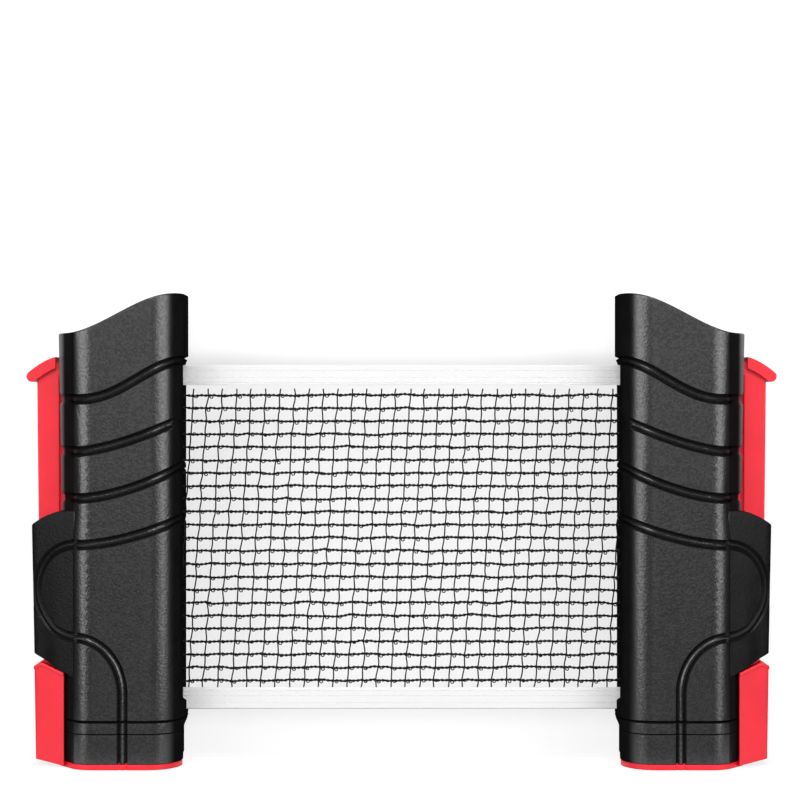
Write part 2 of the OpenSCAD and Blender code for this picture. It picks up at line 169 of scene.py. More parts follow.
# the net
TAPE_T = 0.34
TAPE_EDGE = 0.2  # how far the top tape stays below the net's top
TAPE_HALF = 0.55  # half the depth of a folded tape
KNOT_RADIUS = 0.6
KNOT_LOOP_RADIUS = 0.6
KNOT_STRAND_RADIUS = 0.23
CORE_RADIUS = 8.0  # of the spool, on which the net is wound
ROLL_TURNS = 18
GATHER_U = 1.8  # where the net that can still be paid out lies gathered
GATHER_WIDE = 3.6

CAMERA_MM_PER_PIXEL = 0.4445  # at the net
CAMERA_X, CAMERA_Z = -0.7, 160.9  # in millimetres
PICTURE_PIXELS = 800
SENSOR_MM = 36


def smooth(t):
    """Smoothstep of a number or an array, held between 0 and 1."""
    t = np.clip(t, 0, 1)
    return t * t * (3 - 2 * t)


def head_at(u):
    """Height of the housing's top over u."""
    low = TOP_Z - HEAD_RISE
    t = np.clip((HEAD_FROM_U - u) / (HEAD_FROM_U - HEAD_TO_U), 0, 1)
    slant = np.clip((BODY_W - u) / (BODY_W - HEAD_TO_U), 0, 1)
    return low + HEAD_RISE * (0.93 * smooth(t ** 0.93) + 0.07 * slant)


# ---- settings ----


def length(name, text, default):
    """A length in metres, given in millimetres."""
    return FloatProperty(name=name, description=text, default=default * MM, min=0, unit="LENGTH",
                         precision=5)


def amount(name, text, default):
    """A plain number that isn't below zero."""
    return FloatProperty(name=name, description=text, default=default, min=0)


def colour(name, text, default):
    return FloatVectorProperty(name=name, description=text, default=default, size=3, min=0, max=1,
                               subtype="COLOR")


class HousingSizes(bpy.types.PropertyGroup):
    """Sizes of the black housings."""

    groove_depth: length("Groove depth", "Depth of both lines of a wavy groove", 1.7)
    bead_depth: length("Bead depth", "Depth of the bead between a groove's lines", 0.1)
    line_spacing: length("Line spacing", "Distance between a groove's lines", 3.1)
    line_half: length("Line half width", "Half width of one line of a groove", 0.85)
    edge_radius: length("Edge radius", "Rounding of the housing's top edge", 0.8)
    seam_radius: length("Seam radius", "Rounding at the seams between pieces", 0.2)
    window_depth: length("Window depth", "Depth of the net window in the inner face", 1.5)


class JawSizes(bpy.types.PropertyGroup):
    """Sizes of the red jaw sliders."""

    edge_radius: length("Edge radius", "Rounding of the slider's outer edges", 0.7)
    hook_thickness: length("Hook thickness", "Thickness of the thumb hook", 5.0)
    hook_half: length("Hook half depth", "Half depth of the thumb hook", 9.3)


class NetSizes(bpy.types.PropertyGroup):
    """Sizes and counts of the netting."""

    row_pitch: length("Row pitch", "Distance between the level cords", 5.76)
    column_pitch: length("Column pitch", "Distance between the upright cords", 6.42)
    rows: IntProperty(name="Rows", description="Number of level cords", default=23, min=4, max=40)
    level_radius: length("Level cord radius", "Radius of one ply of a level cord", 0.36)
    upright_radius: length("Upright cord radius", "Radius of an upright cord", 0.34)
    lean: length("Lean", "Sideways lean of the upright cords over the netting's height", 8.5)
    extension: length("Extension", "Length of net that the reels can still pay out", 1500.0)


class Finishes(bpy.types.PropertyGroup):
    """Colours of the finishes."""

    housing: colour("Housing", "Black grained plastic", (0.007, 0.007, 0.0073))
    jaw: colour("Jaw", "Red plastic", (0.86, 0.014, 0.032))
    pad: colour("Pad", "Rubber of the jaw pads", (0.02, 0.02, 0.021))
    spool: colour("Spool", "Natural plastic of the spools", (0.62, 0.62, 0.59))
    bush: colour("Bush", "Self-lubricating plastic of the bushes", (0.7, 0.62, 0.42))
    steel: colour("Steel", "Spring wire and pins", (0.56, 0.56, 0.57))
    screw: colour("Screw", "Blackened screws", (0.06, 0.06, 0.062))
    cord: colour("Cord", "Black cord of the netting", (0.003, 0.003, 0.003))
    tape: colour("Tape", "White tape along the net", (0.82, 0.82, 0.82))


class StudioSettings(bpy.types.PropertyGroup):
    """Light and camera."""

    strip_power: amount("Strip power", "Power of each strip light", 17.5)
    fill_power: amount("Fill power", "Power of the overhead light", 18.0)
    front_power: amount("Front power", "Power of the front light", 6.0)
    world_level: amount("World level", "Strength of the soft surround", 0.03)
    strip_azimuth: FloatProperty(
        name="Strip azimuth", description="Angle of the strip lights off the front",
        default=math.radians(47), subtype="ANGLE")
    camera_distance: length("Camera distance", "Distance of the camera from the net", 1000.0)


class NetSetSettings(bpy.types.PropertyGroup):
    """All settings of the net set."""

    housing: PointerProperty(type=HousingSizes)
    jaw: PointerProperty(type=JawSizes)
    net: PointerProperty(type=NetSizes)
    finishes: PointerProperty(type=Finishes)
    studio: PointerProperty(type=StudioSettings)


def settings():
    return bpy.context.scene.net_set


# ---- sockets and nodes ----


class Value:
    """A node's socket. Sums with it add Math nodes."""

    def __init__(self, nodes, socket):
        self.nodes = nodes
        self.socket = socket

    def math(self, operation, *others):
        return self.nodes.add("ShaderNodeMath", {"operation": operation}, (self, *others)).out(0)

    def __add__(self, other):
        return self.math("ADD", other)

    def __sub__(self, other):
        return self.math("SUBTRACT", other)

    def __mul__(self, other):
        return self.math("MULTIPLY", other)

    def __rsub__(self, other):
        return (self * -1.0) + other

    __radd__ = __add__
    __rmul__ = __mul__

    def between(self, low, high):
        """Smooth step from low to high."""
        values = {"Value": self, "From Min": low, "From Max": high}
        return self.nodes.add("ShaderNodeMapRange", {"interpolation_type": "SMOOTHSTEP"}, values).out(0)

    def past(self, low, high):
        """Smooth step from low to high, given in millimetres."""
        return self.between(low * MM, high * MM)


class Part:
    """A node that has been added to a tree."""

    def __init__(self, nodes, node):
        self.nodes = nodes
        self.node = node

    def out(self, name=0):
        return Value(self.nodes, self.node.outputs[name])


class Nodes:
    """A node tree under construction."""

    def __init__(self, tree):
        self.tree = tree
        tree.nodes.clear()

    def add(self, kind, choices=None, values=()):
        """Adds a node: its choices are set first, then its sockets take numbers, colours or links."""
        node = self.tree.nodes.new(kind)
        for key, choice in (choices or {}).items():
            setattr(node, key, choice)
        pairs = values.items() if isinstance(values, dict) else enumerate(values)
        for key, value in pairs:
            items = value if isinstance(value, list) else [value]
            if isinstance(items[0], Value):
                for item in items:
                    self.tree.links.new(item.socket, node.inputs[key])
            else:
                node.inputs[key].default_value = value
        return Part(self, node)

    def split(self, vector):
        """The x, y and z of a vector."""
        part = self.add("ShaderNodeSeparateXYZ", None, (vector,))
        return part.out(0), part.out(1), part.out(2)

    def mixed(self, share, first, second):
        """A mix of two shaders."""
        return self.add("ShaderNodeMixShader", None, (share, first.out(), second.out()))


class Finish(Nodes):
    """A node material under construction."""

    def __init__(self, name):
        self.material = bpy.data.materials.new(name)
        self.material.use_nodes = True
        super().__init__(self.material.node_tree)
        self.output = self.tree.nodes.new("ShaderNodeOutputMaterial")

    def place(self):
        return self.add("ShaderNodeTexCoord").out("Object")

    def stretched(self, scale):
        """Object coordinates with a scale for each axis."""
        return self.add("ShaderNodeMapping", None, {"Vector": self.place(), "Scale": scale}).out()

    def noise(self, size_mm, detail=2.0, vector=None):
        """Noise whose features are about size_mm wide."""
        values = {"Vector": vector or self.place(), "Scale": 1 / (size_mm * MM), "Detail": detail}
        return self.add("ShaderNodeTexNoise", None, values).out(0)

    def tint(self, mask, low, high):
        """Mixes two colours by a mask."""
        values = {0: mask, 6: low if isinstance(low, Value) else (*low, 1), 7: (*high, 1)}
        return self.add("ShaderNodeMix", {"data_type": "RGBA"}, values).out(2)

    def shades(self, mask, base, low, high):
        """Mixes two shades of a colour by a mask."""
        return self.tint(mask, scaled(base, low), scaled(base, high))

    def bump(self, height, distance_mm, strength=1.0, normal=None):
        values = {"Strength": strength, "Distance": distance_mm * MM, "Height": height}
        if normal:
            values["Normal"] = normal
        return self.add("ShaderNodeBump", None, values).out()

    def shader(self, **sockets):
        """A Principled shader. A name's underscores are the socket's spaces."""
        values = {key.replace("_", " "): value for key, value in sockets.items()}
        return self.add("ShaderNodeBsdfPrincipled", None, values)

    def ended(self, shader):
        """Ends the finish in a shader."""
        self.tree.links.new(shader.out().socket, self.output.inputs[0])
        return self.material

    def surface(self, **sockets):
        """Ends the finish in one Principled shader."""
        return self.ended(self.shader(**sockets))


# ---- finishes ----


def scaled(colour_, share):
    return tuple(min(1.0, channel * share) for channel in colour_)


def housing_finish():
    """Black plastic with the fine spark grain of its mould: tiny glossy and dull spots."""
    finish = Finish("black_plastic")
    base = tuple(settings().finishes.housing)
    grain = finish.noise(0.9, 2)
    cloud = finish.noise(9, 3)
    normal = finish.bump(grain, 0.12, 0.8)
    x, _, z = finish.split(finish.place())
    x = x.math("ABSOLUTE")
    # the inner faces, the lines of the seams, the outer bevels and the guide brackets are moulded dull
    edge = FACE_X + BODY_W
    inner = 1.0 - x.past(FACE_X + 3.5, FACE_X + 8.0)
    for seam, half in ((SEAM_Z - 0.1, 0.65), (LINE_Z - 0.05, 0.3)):
        low, high = seam - half, seam + half
        inner = inner.math("MAXIMUM", z.past(low - 0.1, low + 0.1) * (1.0 - z.past(high - 0.1, high + 0.1)))
    above = z.past(BRACKET_HIGH - 0.5, BRACKET_HIGH)
    # mask of the outer rim above the bracket, which carries a painted highlight in the base colour
    rim = x.past(edge - 3.0, edge - 0.4) * above
    dullness = 0.88 + 0.08 * above - 0.5 * rim * z.past(HOOK_Z - 0.5, HOOK_Z + 0.5)
    beside = x.past(edge - 7.6, edge - 7.3) * z.past(BRACKET_LOW, BRACKET_LOW + 0.3) * (1.0 - above)
    bevel = x.past(edge - 8.4, edge - 7.2).math("MAXIMUM", beside) * dullness
    spots = grain.between(0.38, 0.62) * 0.3
    dull = inner.math("MAXIMUM", bevel).math("MAXIMUM", spots)
    # painted highlight: the outer rim above the bracket gets a paler base colour, standing in for the light
    # that it catches
    plain = finish.shades(cloud.between(0.35, 0.65), base, 0.88, 1.12)
    looks = {"Base_Color": finish.tint(rim, plain, (0.16, 0.16, 0.163)),
             "Roughness": 0.25 + 0.08 * cloud, "Normal": normal}
    glossy = finish.shader(Specular_IOR_Level=1.0, **looks)
    matt = finish.shader(Specular_IOR_Level=0.0, **looks)
    return finish.ended(finish.mixed(dull, glossy, matt))


def jaw_finish():
    """Red plastic, moulded nearly smooth."""
    finish = Finish("red_plastic")
    base = tuple(settings().finishes.jaw)
    cloud = finish.noise(14, 2)
    flow = finish.noise(1.0, 3, finish.stretched((1.2, 1.2, 0.12)))
    normal = finish.bump(finish.noise(0.5, 2) + flow * 0.6, 0.02, 0.4)
    return finish.surface(
        Base_Color=finish.shades(cloud.between(0.3, 0.7), base, 0.96, 1.04),
        Roughness=0.42 + 0.08 * flow, Normal=normal)


def pad_finish():
    """Matt rubber with a moulded tread of fine ribs."""
    finish = Finish("pad_rubber")
    base = tuple(settings().finishes.pad)
    ribs = finish.add("ShaderNodeTexWave", {"bands_direction": "X", "wave_profile": "SIN"},
                      {"Vector": finish.place(), "Scale": 160.0}).out(1)
    normal = finish.bump(ribs, 0.25, 0.8, finish.bump(finish.noise(0.4, 3), 0.03, 0.6))
    return finish.surface(Base_Color=finish.shades(finish.noise(3, 3), base, 0.8, 1.3),
                          Roughness=0.78, Normal=normal)


def wire_finish():
    """Drawn spring wire."""
    finish = Finish("spring_steel")
    base = tuple(settings().finishes.steel)
    scratch = finish.noise(0.8, 4, finish.stretched((3.0, 3.0, 0.5)))
    return finish.surface(Base_Color=finish.shades(scratch, base, 0.8, 1.1),
                          Metallic=1.0, Roughness=0.24 + 0.18 * scratch,
                          Normal=finish.bump(scratch, 0.01, 0.3))


def pin_finish():
    """Ground steel pin with fine turning marks around it."""
    finish = Finish("steel_pin")
    base = tuple(settings().finishes.steel)
    rings = finish.noise(0.3, 3, finish.stretched((0.2, 0.2, 4.0)))
    return finish.surface(Base_Color=finish.shades(rings, base, 0.9, 1.12),
                          Metallic=1.0, Roughness=0.2 + 0.15 * rings,
                          Normal=finish.bump(rings, 0.006, 0.3))


def moulded_finish(name, base, roughness):
    """Plain moulded plastic of an inner piece."""
    finish = Finish(name)
    cloud = finish.noise(6, 3)
    return finish.surface(Base_Color=finish.shades(cloud, base, 0.93, 1.05),
                          Roughness=roughness + 0.1 * cloud,
                          Normal=finish.bump(finish.noise(0.3, 2), 0.02, 0.3))


def screw_finish():
    """Blackened screw steel."""
    finish = Finish("screw_steel")
    base = tuple(settings().finishes.screw)
    worn = finish.noise(0.7, 4)
    return finish.surface(Base_Color=finish.tint(worn.between(0.5, 0.75), base, scaled(base, 3.0)),
                          Metallic=1.0, Roughness=0.34 + 0.2 * worn, Normal=finish.bump(worn, 0.01, 0.3))


def cord_finish():
    """Twisted black cord, slightly glossy on its threads."""
    finish = Finish("net_cord")
    base = tuple(settings().finishes.cord)
    fibre = finish.noise(0.25, 4, finish.stretched((1.0, 1.0, 1.6)))
    return finish.surface(Base_Color=finish.shades(fibre, base, 0.7, 1.8),
                          Roughness=0.5 + 0.25 * fibre, Specular_IOR_Level=0.2,
                          Normal=finish.bump(fibre, 0.06, 0.7))


def tape_finish():
    """White woven tape: a plain weave of threads 0.35 mm apart."""
    finish = Finish("net_tape")
    base = tuple(settings().finishes.tape)
    threads_per_m = 2 * math.pi / (0.7 * MM)
    x, _, z = finish.split(finish.place())
    warp = (x * threads_per_m).math("SINE")
    weft = (z * threads_per_m).math("SINE")
    weave = warp * weft * 0.5 + 0.5
    fuzz = finish.noise(0.5, 3)
    normal = finish.bump(weave * 0.8 + fuzz * 0.4, 0.09, 0.6)
    return finish.surface(Base_Color=finish.tint(weave * 0.6 + fuzz * 0.4, scaled(base, 0.93), base),
                          Roughness=0.85, Normal=normal)


def finish_named(slot):
    """The material of a slot, made the first time that it is asked for."""
    made = bpy.data.materials.get(slot)
    if made and made.get("made_here"):
        return made
    colours = settings().finishes
    makers = {
        "black_plastic": housing_finish, "red_plastic": jaw_finish, "pad_rubber": pad_finish,
        "net_cord": cord_finish, "net_tape": tape_finish,
        "spring_steel": wire_finish, "steel_pin": pin_finish, "screw_steel": screw_finish,
        "spool_plastic": lambda: moulded_finish(slot, tuple(colours.spool), 0.45),
        "bush_plastic": lambda: moulded_finish(slot, tuple(colours.bush), 0.5),
    }
    if made:
        made.name = slot + "_cad"
    material = makers[slot]()
    material["made_here"] = True
    return material


# ---- meshes ----


def place(side, points):
    """Points of a post's own frame, in millimetres, as points of the set, in metres."""
    out = np.array(points, float)
    out[:, 0] = side * (FACE_X + out[:, 0])
    return out * MM


def points_of(mesh):
    """The mesh's points, one to a row."""
    points = np.empty(len(mesh.vertices) * 3)
    mesh.vertices.foreach_get("co", points)
    return points.reshape(-1, 3)


def mesh_object(name, points, faces, flipped=False):
    """A mesh object from points and faces. flipped turns its faces over, as a mirrored piece needs."""
    mesh = bpy.data.meshes.new(name)
    if flipped:
        faces = [tuple(reversed(face)) for face in faces]
    mesh.from_pydata([tuple(p) for p in points], [], [tuple(int(i) for i in face) for face in faces])
    mesh.validate()
    obj = bpy.data.objects.new(name, mesh)
    bpy.context.scene.collection.objects.link(obj)
    return obj


def remove(*objects):
    for obj in objects:
        mesh = obj.data
        bpy.data.objects.remove(obj)
        bpy.data.meshes.remove(mesh)


def apply_modifiers(obj):
    """Bakes the modifiers of obj into a new mesh on it."""
    graph = bpy.context.evaluated_depsgraph_get()
    graph.update()
    mesh = bpy.data.meshes.new_from_object(obj.evaluated_get(graph))
    old = obj.data
    obj.modifiers.clear()
    obj.data = mesh
    bpy.data.meshes.remove(old)
    mesh.name = obj.name
    return obj


def combine(obj, tool, operation):
    """A boolean of two closed meshes. The tool is removed."""
    modifier = obj.modifiers.new("combine", "BOOLEAN")
    modifier.operation = operation
    modifier.solver = "MANIFOLD"
    modifier.object = tool
    apply_modifiers(obj)
    remove(tool)
    return obj


def cut(obj, *tools):
    for tool in tools:
        combine(obj, tool, "DIFFERENCE")
    return obj


def join(obj, *tools):
    for tool in tools:
        combine(obj, tool, "UNION")
    return obj


def block(low, high):
    """A closed box in a post's own frame, used as a tool."""
    corners = [(x, y, z) for x in (low[0], high[0]) for y in (low[1], high[1]) for z in (low[2], high[2])]
    faces = [(0, 1, 3, 2), (4, 6, 7, 5), (0, 4, 5, 1), (2, 3, 7, 6), (0, 2, 6, 4), (1, 5, 7, 3)]
    return mesh_object("block", np.array(corners, float), faces)


def drum(points):
    """A closed solid between two outlines: one half of the points, and the other half across from it."""
    n = len(points) // 2
    faces = [tuple(range(n)), tuple(reversed(range(n, 2 * n)))]
    faces += [(i, i + n, (i + 1) % n + n, (i + 1) % n) for i in range(n)]
    return outwards(mesh_object("drum", np.array(points, float), faces))


def prism(outline, y0, y1):
    """A closed prism along y over an outline in (u, z)."""
    return drum([(u, y0, z) for u, z in outline] + [(u, y1, z) for u, z in outline])


def cylinder(centre, radius, along, length_mm, sides=48):
    """A closed cylinder. along is the axis's number, and it starts at centre."""
    points = []
    for end in (0, length_mm):
        for i in range(sides):
            a = 2 * math.pi * i / sides
            ring = [radius * math.cos(a), radius * math.sin(a)]
            ring.insert(along, end)
            points.append([c + d for c, d in zip(centre, ring)])
    return drum(points)


def ring_faces(rings, size):
    """Faces between rings of size points each, from every ring to the next."""
    faces = []
    for i in range(rings - 1):
        base = i * size
        for k in range(size):
            n = (k + 1) % size
            faces.append((base + k, base + n, base + size + n, base + size + k))
    return faces


def swept(points, size):
    """A closed solid over rings of size points each."""
    count = len(points)
    faces = ring_faces(count // size, size)
    faces += [tuple(reversed(range(size))), tuple(range(count - size, count))]
    return outwards(mesh_object("swept", np.array(points, float), faces))


def edit(obj, work):
    """Runs work on obj's bmesh."""
    bm = bmesh.new()
    bm.from_mesh(obj.data)
    work(bm)
    bm.to_mesh(obj.data)
    bm.free()
    return obj


def outwards(obj):
    return edit(obj, lambda bm: bmesh.ops.recalc_face_normals(bm, faces=bm.faces))


def rounded(obj, radius, angle=30):
    """Rounds the edges that turn by more than angle."""
    def work(bm):
        bmesh.ops.remove_doubles(bm, verts=bm.verts, dist=1e-4)
        limit = math.radians(angle)
        edges = [e for e in bm.edges if len(e.link_faces) == 2 and e.calc_face_angle() > limit]
        bmesh.ops.bevel(bm, geom=edges, offset=radius, segments=3, profile=0.5, affect="EDGES",
                        clamp_overlap=True)
    return edit(obj, work)


def cad_copy(node, side):
    """A closed copy of a CAD node, in its post's own frame."""
    source = frame["nodes"][node].data
    points = points_of(source) / MM
    points[:, 0] = side * points[:, 0] - FACE_X
    faces = [tuple(p.vertices) for p in source.polygons]
    obj = mesh_object("cad_copy", points, faces, flipped=side < 0)
    return edit(obj, lambda bm: bmesh.ops.remove_doubles(bm, verts=bm.verts, dist=1e-4))


def shade(obj):
    """Smooth shading with sharp edges where the surface turns by more than 34 degrees."""
    def work(bm):
        limit = math.radians(34)
        for face in bm.faces:
            face.smooth = True
        for edge in bm.edges:
            edge.smooth = len(edge.link_faces) == 2 and edge.calc_face_angle(0) < limit
    edit(obj, work)
    modifier = obj.modifiers.new("normals", "WEIGHTED_NORMAL")
    modifier.keep_sharp = True
    modifier.weight = 100
    return apply_modifiers(obj)


def finished(obj, side, name, slot, body, *nodes):
    """Carries a piece from its post's frame to its place, shades it, and gives it finish and body."""
    mesh = obj.data
    mesh.vertices.foreach_set("co", place(side, points_of(mesh)).ravel())
    if side < 0:
        mesh.flip_normals()
    mesh.update()
    obj.name = name
    mesh.name = name
    return dressed(shade(obj), slot, body, *nodes)


def dressed(obj, slot, body, *nodes):
    """Gives a piece its finish and its body, and lets it stand for CAD nodes."""
    obj.data.materials.clear()
    obj.data.materials.append(finish_named(slot))
    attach(obj, body)
    if nodes:
        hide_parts(*nodes)
    return obj


def twin(obj):
    """A second object with a copy of obj's mesh."""
    other = bpy.data.objects.new(obj.name, obj.data.copy())
    bpy.context.scene.collection.objects.link(other)
    return other


# ---- walls: solids whose front and rear are the same wall, seen in plan and unrolled ----

ARC_ROWS = 64


class Plan:
    """The front half of a wall in plan, walked outwards from the net's side.

    Points are (u, y) with the wall's normal, at a distance s along it."""

    def __init__(self, runs):
        """runs are ("line", (u0, y0), (u1, y1), steps) or ("arc", centre, radius, from, to, steps)."""
        rows, columns, s = [], [0.0], 0.0
        for run in runs:
            if run[0] == "line":
                (u0, y0), (u1, y1), steps = run[1:]
                size = math.dist((u0, y0), (u1, y1))
                normal = ((y1 - y0) / size, (u0 - u1) / size)
                rows += [(s, u0, y0, *normal), (s + size, u1, y1, *normal)]
            else:
                (cu, cy), radius, start, end, steps = run[1:]
                size = radius * math.radians(abs(end - start))
                for i in range(ARC_ROWS + 1):
                    a = math.radians(start + (end - start) * i / ARC_ROWS)
                    at = (s + size * i / ARC_ROWS, cu + radius * math.cos(a), cy + radius * math.sin(a))
                    rows.append((*at, math.cos(a), math.sin(a)))
            columns += [s + size * (i + 1) / steps for i in range(steps)]
            s += size
        self.rows = np.array(rows)
        self.columns = np.array(columns)
        self.size = s

    def refined(self, s, offsets):
        """Adds columns beside the distance s."""
        extra = np.array([s + o for o in offsets])
        far = np.abs(self.columns[:, None] - s).min(1) > max(offsets) + 0.3
        self.columns = np.sort(np.concatenate([self.columns[far], extra]))
        return self

    def at(self, s):
        """Columns u, y, normal u and normal y at distances s."""
        table = self.rows
        return [np.interp(s, table[:, 0], table[:, k]) for k in range(1, 5)]

    def along(self, u):
        """Distance s at which the wall passes u, where u grows along it."""
        table = self.rows
        first = int(np.argmin(table[:, 1]))
        rising = np.maximum.accumulate(table[first:, 1]) + np.arange(len(table) - first) * 1e-9
        return np.interp(u, rising, table[first:, 0])


def arc_points(centre, radii, start, end, steps):
    """Points (u, z) on an ellipse's arc, angles in degrees."""
    angles = np.radians(np.linspace(start, end, steps))
    return np.stack([centre[0] + radii[0] * np.cos(angles), centre[1] + radii[1] * np.sin(angles)], 1)


def groove_z(number, u):
    """Height of a wavy groove's middle over u."""
    drop, rise, bend = GROOVES[number]
    t = np.power(np.clip((GROOVE_FROM_U - u) / GROOVE_FROM_U, 0, 1), bend)
    return NET_TOP - drop + rise * (smooth(t) if number == TOP_GROOVE else t)


def even_steps(path, step):
    """A path's points again, step apart."""
    run = np.concatenate([[0], np.cumsum(np.linalg.norm(np.diff(path, axis=0), axis=1))])
    count = max(2, int(math.ceil(run[-1] / step)) + 1)
    at = np.linspace(0, run[-1], count)
    return np.stack([np.interp(at, run, path[:, k]) for k in range(2)], 1)


def on_wall(plan, path):
    """A path in (u, z), unrolled onto a plan as (s, z)."""
    return np.stack([plan.along(path[:, 0]), path[:, 1]], 1)


def loop_paths():
    """The loop of the lowest groove: its upper start, the loop itself, and its run down to the base."""
    middle = LOOP_TOP - LOOP_B
    low = LOOP_TOP - 2 * LOOP_B
    corner_z = SEAM_Z + 12
    upper = arc_points((LOOP_U, middle), (LOOP_A, LOOP_B), 90, 90 - LOOP_REACH, 24)
    loop = arc_points((LOOP_U, middle), (LOOP_A, LOOP_B), 90, -90, 90)
    lower = arc_points((LOOP_U, middle), (LOOP_A, LOOP_B), LOOP_REACH - 90, -90, 24)
    down = arc_points((LOOP_U, corner_z), (LOOP_U - FOOT_LINE_U, low - corner_z), 90, 180, 40)
    end = np.array([[FOOT_LINE_U, 0.0]])
    return upper, loop, np.concatenate([lower[:-1], down, end])


def foot_groove(plan):
    """The lowest groove from its loop down to the base, as body_grooves gives it."""
    _, _, lower = loop_paths()
    return [(even_steps(on_wall(plan, lower), GROOVE_STEP), None, None)]


def body_grooves(plan):
    """Grooves of the housing as (path in (s, z), s at which it is lifted out, s from which it opens)."""
    upper, _, _ = loop_paths()
    inner_u = np.linspace(0, GROOVE_FROM_U, 60)
    found = []
    for number in range(len(GROOVES)):
        short, looped = number == SHORT_GROOVE, number == LOOP_GROOVE
        u = inner_u[inner_u >= (SHORT_GROOVE_U if short else 0.0)]
        path = np.stack([u, groove_z(number, u)], 1)
        if looped:
            path = np.concatenate([path, upper])
        path = on_wall(plan, path)
        parts = [path]
        if not short:
            parts.insert(0, np.array([[0.0, path[0, 1]]]))
        if not looped:
            parts.append(np.array([[plan.size, path[-1, 1]]]))
        lifted_at = plan.along(SHORT_GROOVE_U + 0.7) if short else None
        open_from = None if looped else plan.along(GROOVE_OPEN_U)
        found.append((even_steps(np.concatenate(parts), GROOVE_STEP), lifted_at, open_from))
    return found + foot_groove(plan)


def groove_profile(distance):
    """Depth of a double groove at a distance from its middle: two lines with a bead between them."""
    sizes = settings().housing
    deep, bead = sizes.groove_depth / MM, sizes.bead_depth / MM
    line, half = sizes.line_spacing / MM / 2, sizes.line_half / MM
    d = np.abs(distance)
    crown = (np.sqrt((d / line) ** 2 + 0.2) - math.sqrt(0.2)) / (math.sqrt(1.2) - math.sqrt(0.2))
    outer = deep * (1 - np.clip((d - line) / half, 0, 1))
    return np.where(d < line, bead + (deep - bead) * crown, outer)


def channel_profile(distance):
    """Depth of the plain channel that a groove becomes at the housing's outer side."""
    sizes = settings().housing
    half = (sizes.line_spacing / 2 + sizes.line_half) / MM
    return 0.7 * sizes.groove_depth / MM * (1 - smooth((np.abs(distance) - 0.4 * half) / (0.6 * half)))


def distance_to(path, points):
    """Distance of each point to a path. It stays infinite for points far above or below the path."""
    best = np.full(len(points), np.inf)
    starts, steps = path[:-1], np.diff(path, axis=0)
    for a, d in zip(starts, steps):
        size = max(float(d @ d), 1e-12)
        near = np.abs(points[:, 1] - a[1]) < GROOVE_REACH
        if not near.any():
            continue
        rel = points[near] - a
        t = np.clip(rel @ d / size, 0, 1)
        gap = np.linalg.norm(rel - t[:, None] * d, axis=1)
        best[near] = np.minimum(best[near], gap)
    return best


def groove_offsets():
    """Distances from a groove's middle at which its mesh has lines."""
    sizes = settings().housing
    line, half = sizes.line_spacing / MM / 2, sizes.line_half / MM
    offsets = [0, 0.35 * line, 0.65 * line, 0.85 * line, line, line + 0.5 * half, line + half,
               line + half + 0.35]
    return sorted({sign * o for o in offsets for sign in (-1, 1)})


def wall_depth(points, grooves):
    """Depth of all grooves at points (s, z)."""
    depth = np.zeros(len(points))
    for path, lifted_at, open_from in grooves:
        distance = distance_to(path, points)
        d = groove_profile(distance)
        if lifted_at is not None:
            lift = settings().housing.groove_depth / MM
            d = d - lift * (1 - smooth((points[:, 0] - lifted_at) / 4.5))
        if open_from is not None:
            share_open = smooth((points[:, 0] - open_from) / 6)
            d = d * (1 - share_open) + channel_profile(distance) * share_open
        depth = np.maximum(depth, d)
    return depth


def wall_points(plan, low, high, grooves, step):
    """Points (s, z) for a wall's mesh: its border, then a grid with lines beside each groove.

    The third value is the number of the border's point at which its upper edge starts."""
    columns = plan.columns
    column_u = plan.at(columns)[0]
    bottom = np.stack([columns, low(column_u)], 1)
    top = np.stack([columns, high(column_u)], 1)

    def upright(s):
        u = plan.at(np.array([s]))[0]
        z0, z1 = float(low(u)[0]), float(high(u)[0])
        count = max(2, int((z1 - z0) / (GROOVE_STEP if grooves else step)))
        return np.stack([np.full(count - 1, s), np.linspace(z0, z1, count + 1)[1:-1]], 1)

    left, right = upright(0.0), upright(plan.size)
    border = [bottom, right, top[::-1], left[::-1]]
    inner = []
    for s, u in zip(columns[1:-1], column_u[1:-1]):
        z0, z1 = float(low(np.array([u]))[0]), float(high(np.array([u]))[0])
        count = max(1, int(round((z1 - z0) / step)))
        z = np.linspace(z0, z1, count + 1)[1:-1]
        inner.append(np.stack([np.full(len(z), s), z], 1))
    grid = np.concatenate(inner) if inner else np.empty((0, 2))
    offsets = groove_offsets()
    reach = offsets[-2]
    beside = []
    for path, _, _ in grooves:
        run = np.gradient(path, axis=0)
        run /= np.linalg.norm(run, axis=1)[:, None]
        normal = np.stack([-run[:, 1], run[:, 0]], 1)
        beside += [path + o * normal for o in offsets]
        if len(grid):
            grid = grid[distance_to(path, grid) > reach + 0.8]
    kept = np.concatenate([grid, *beside]) if beside else grid
    u = plan.at(kept[:, 0])[0]
    inside = (kept[:, 0] > 0.25) & (kept[:, 0] < plan.size - 0.25)
    inside &= (kept[:, 1] > low(u) + 0.25) & (kept[:, 1] < high(u) - 0.25)
    return np.concatenate(border), kept[inside], len(columns) + len(right)


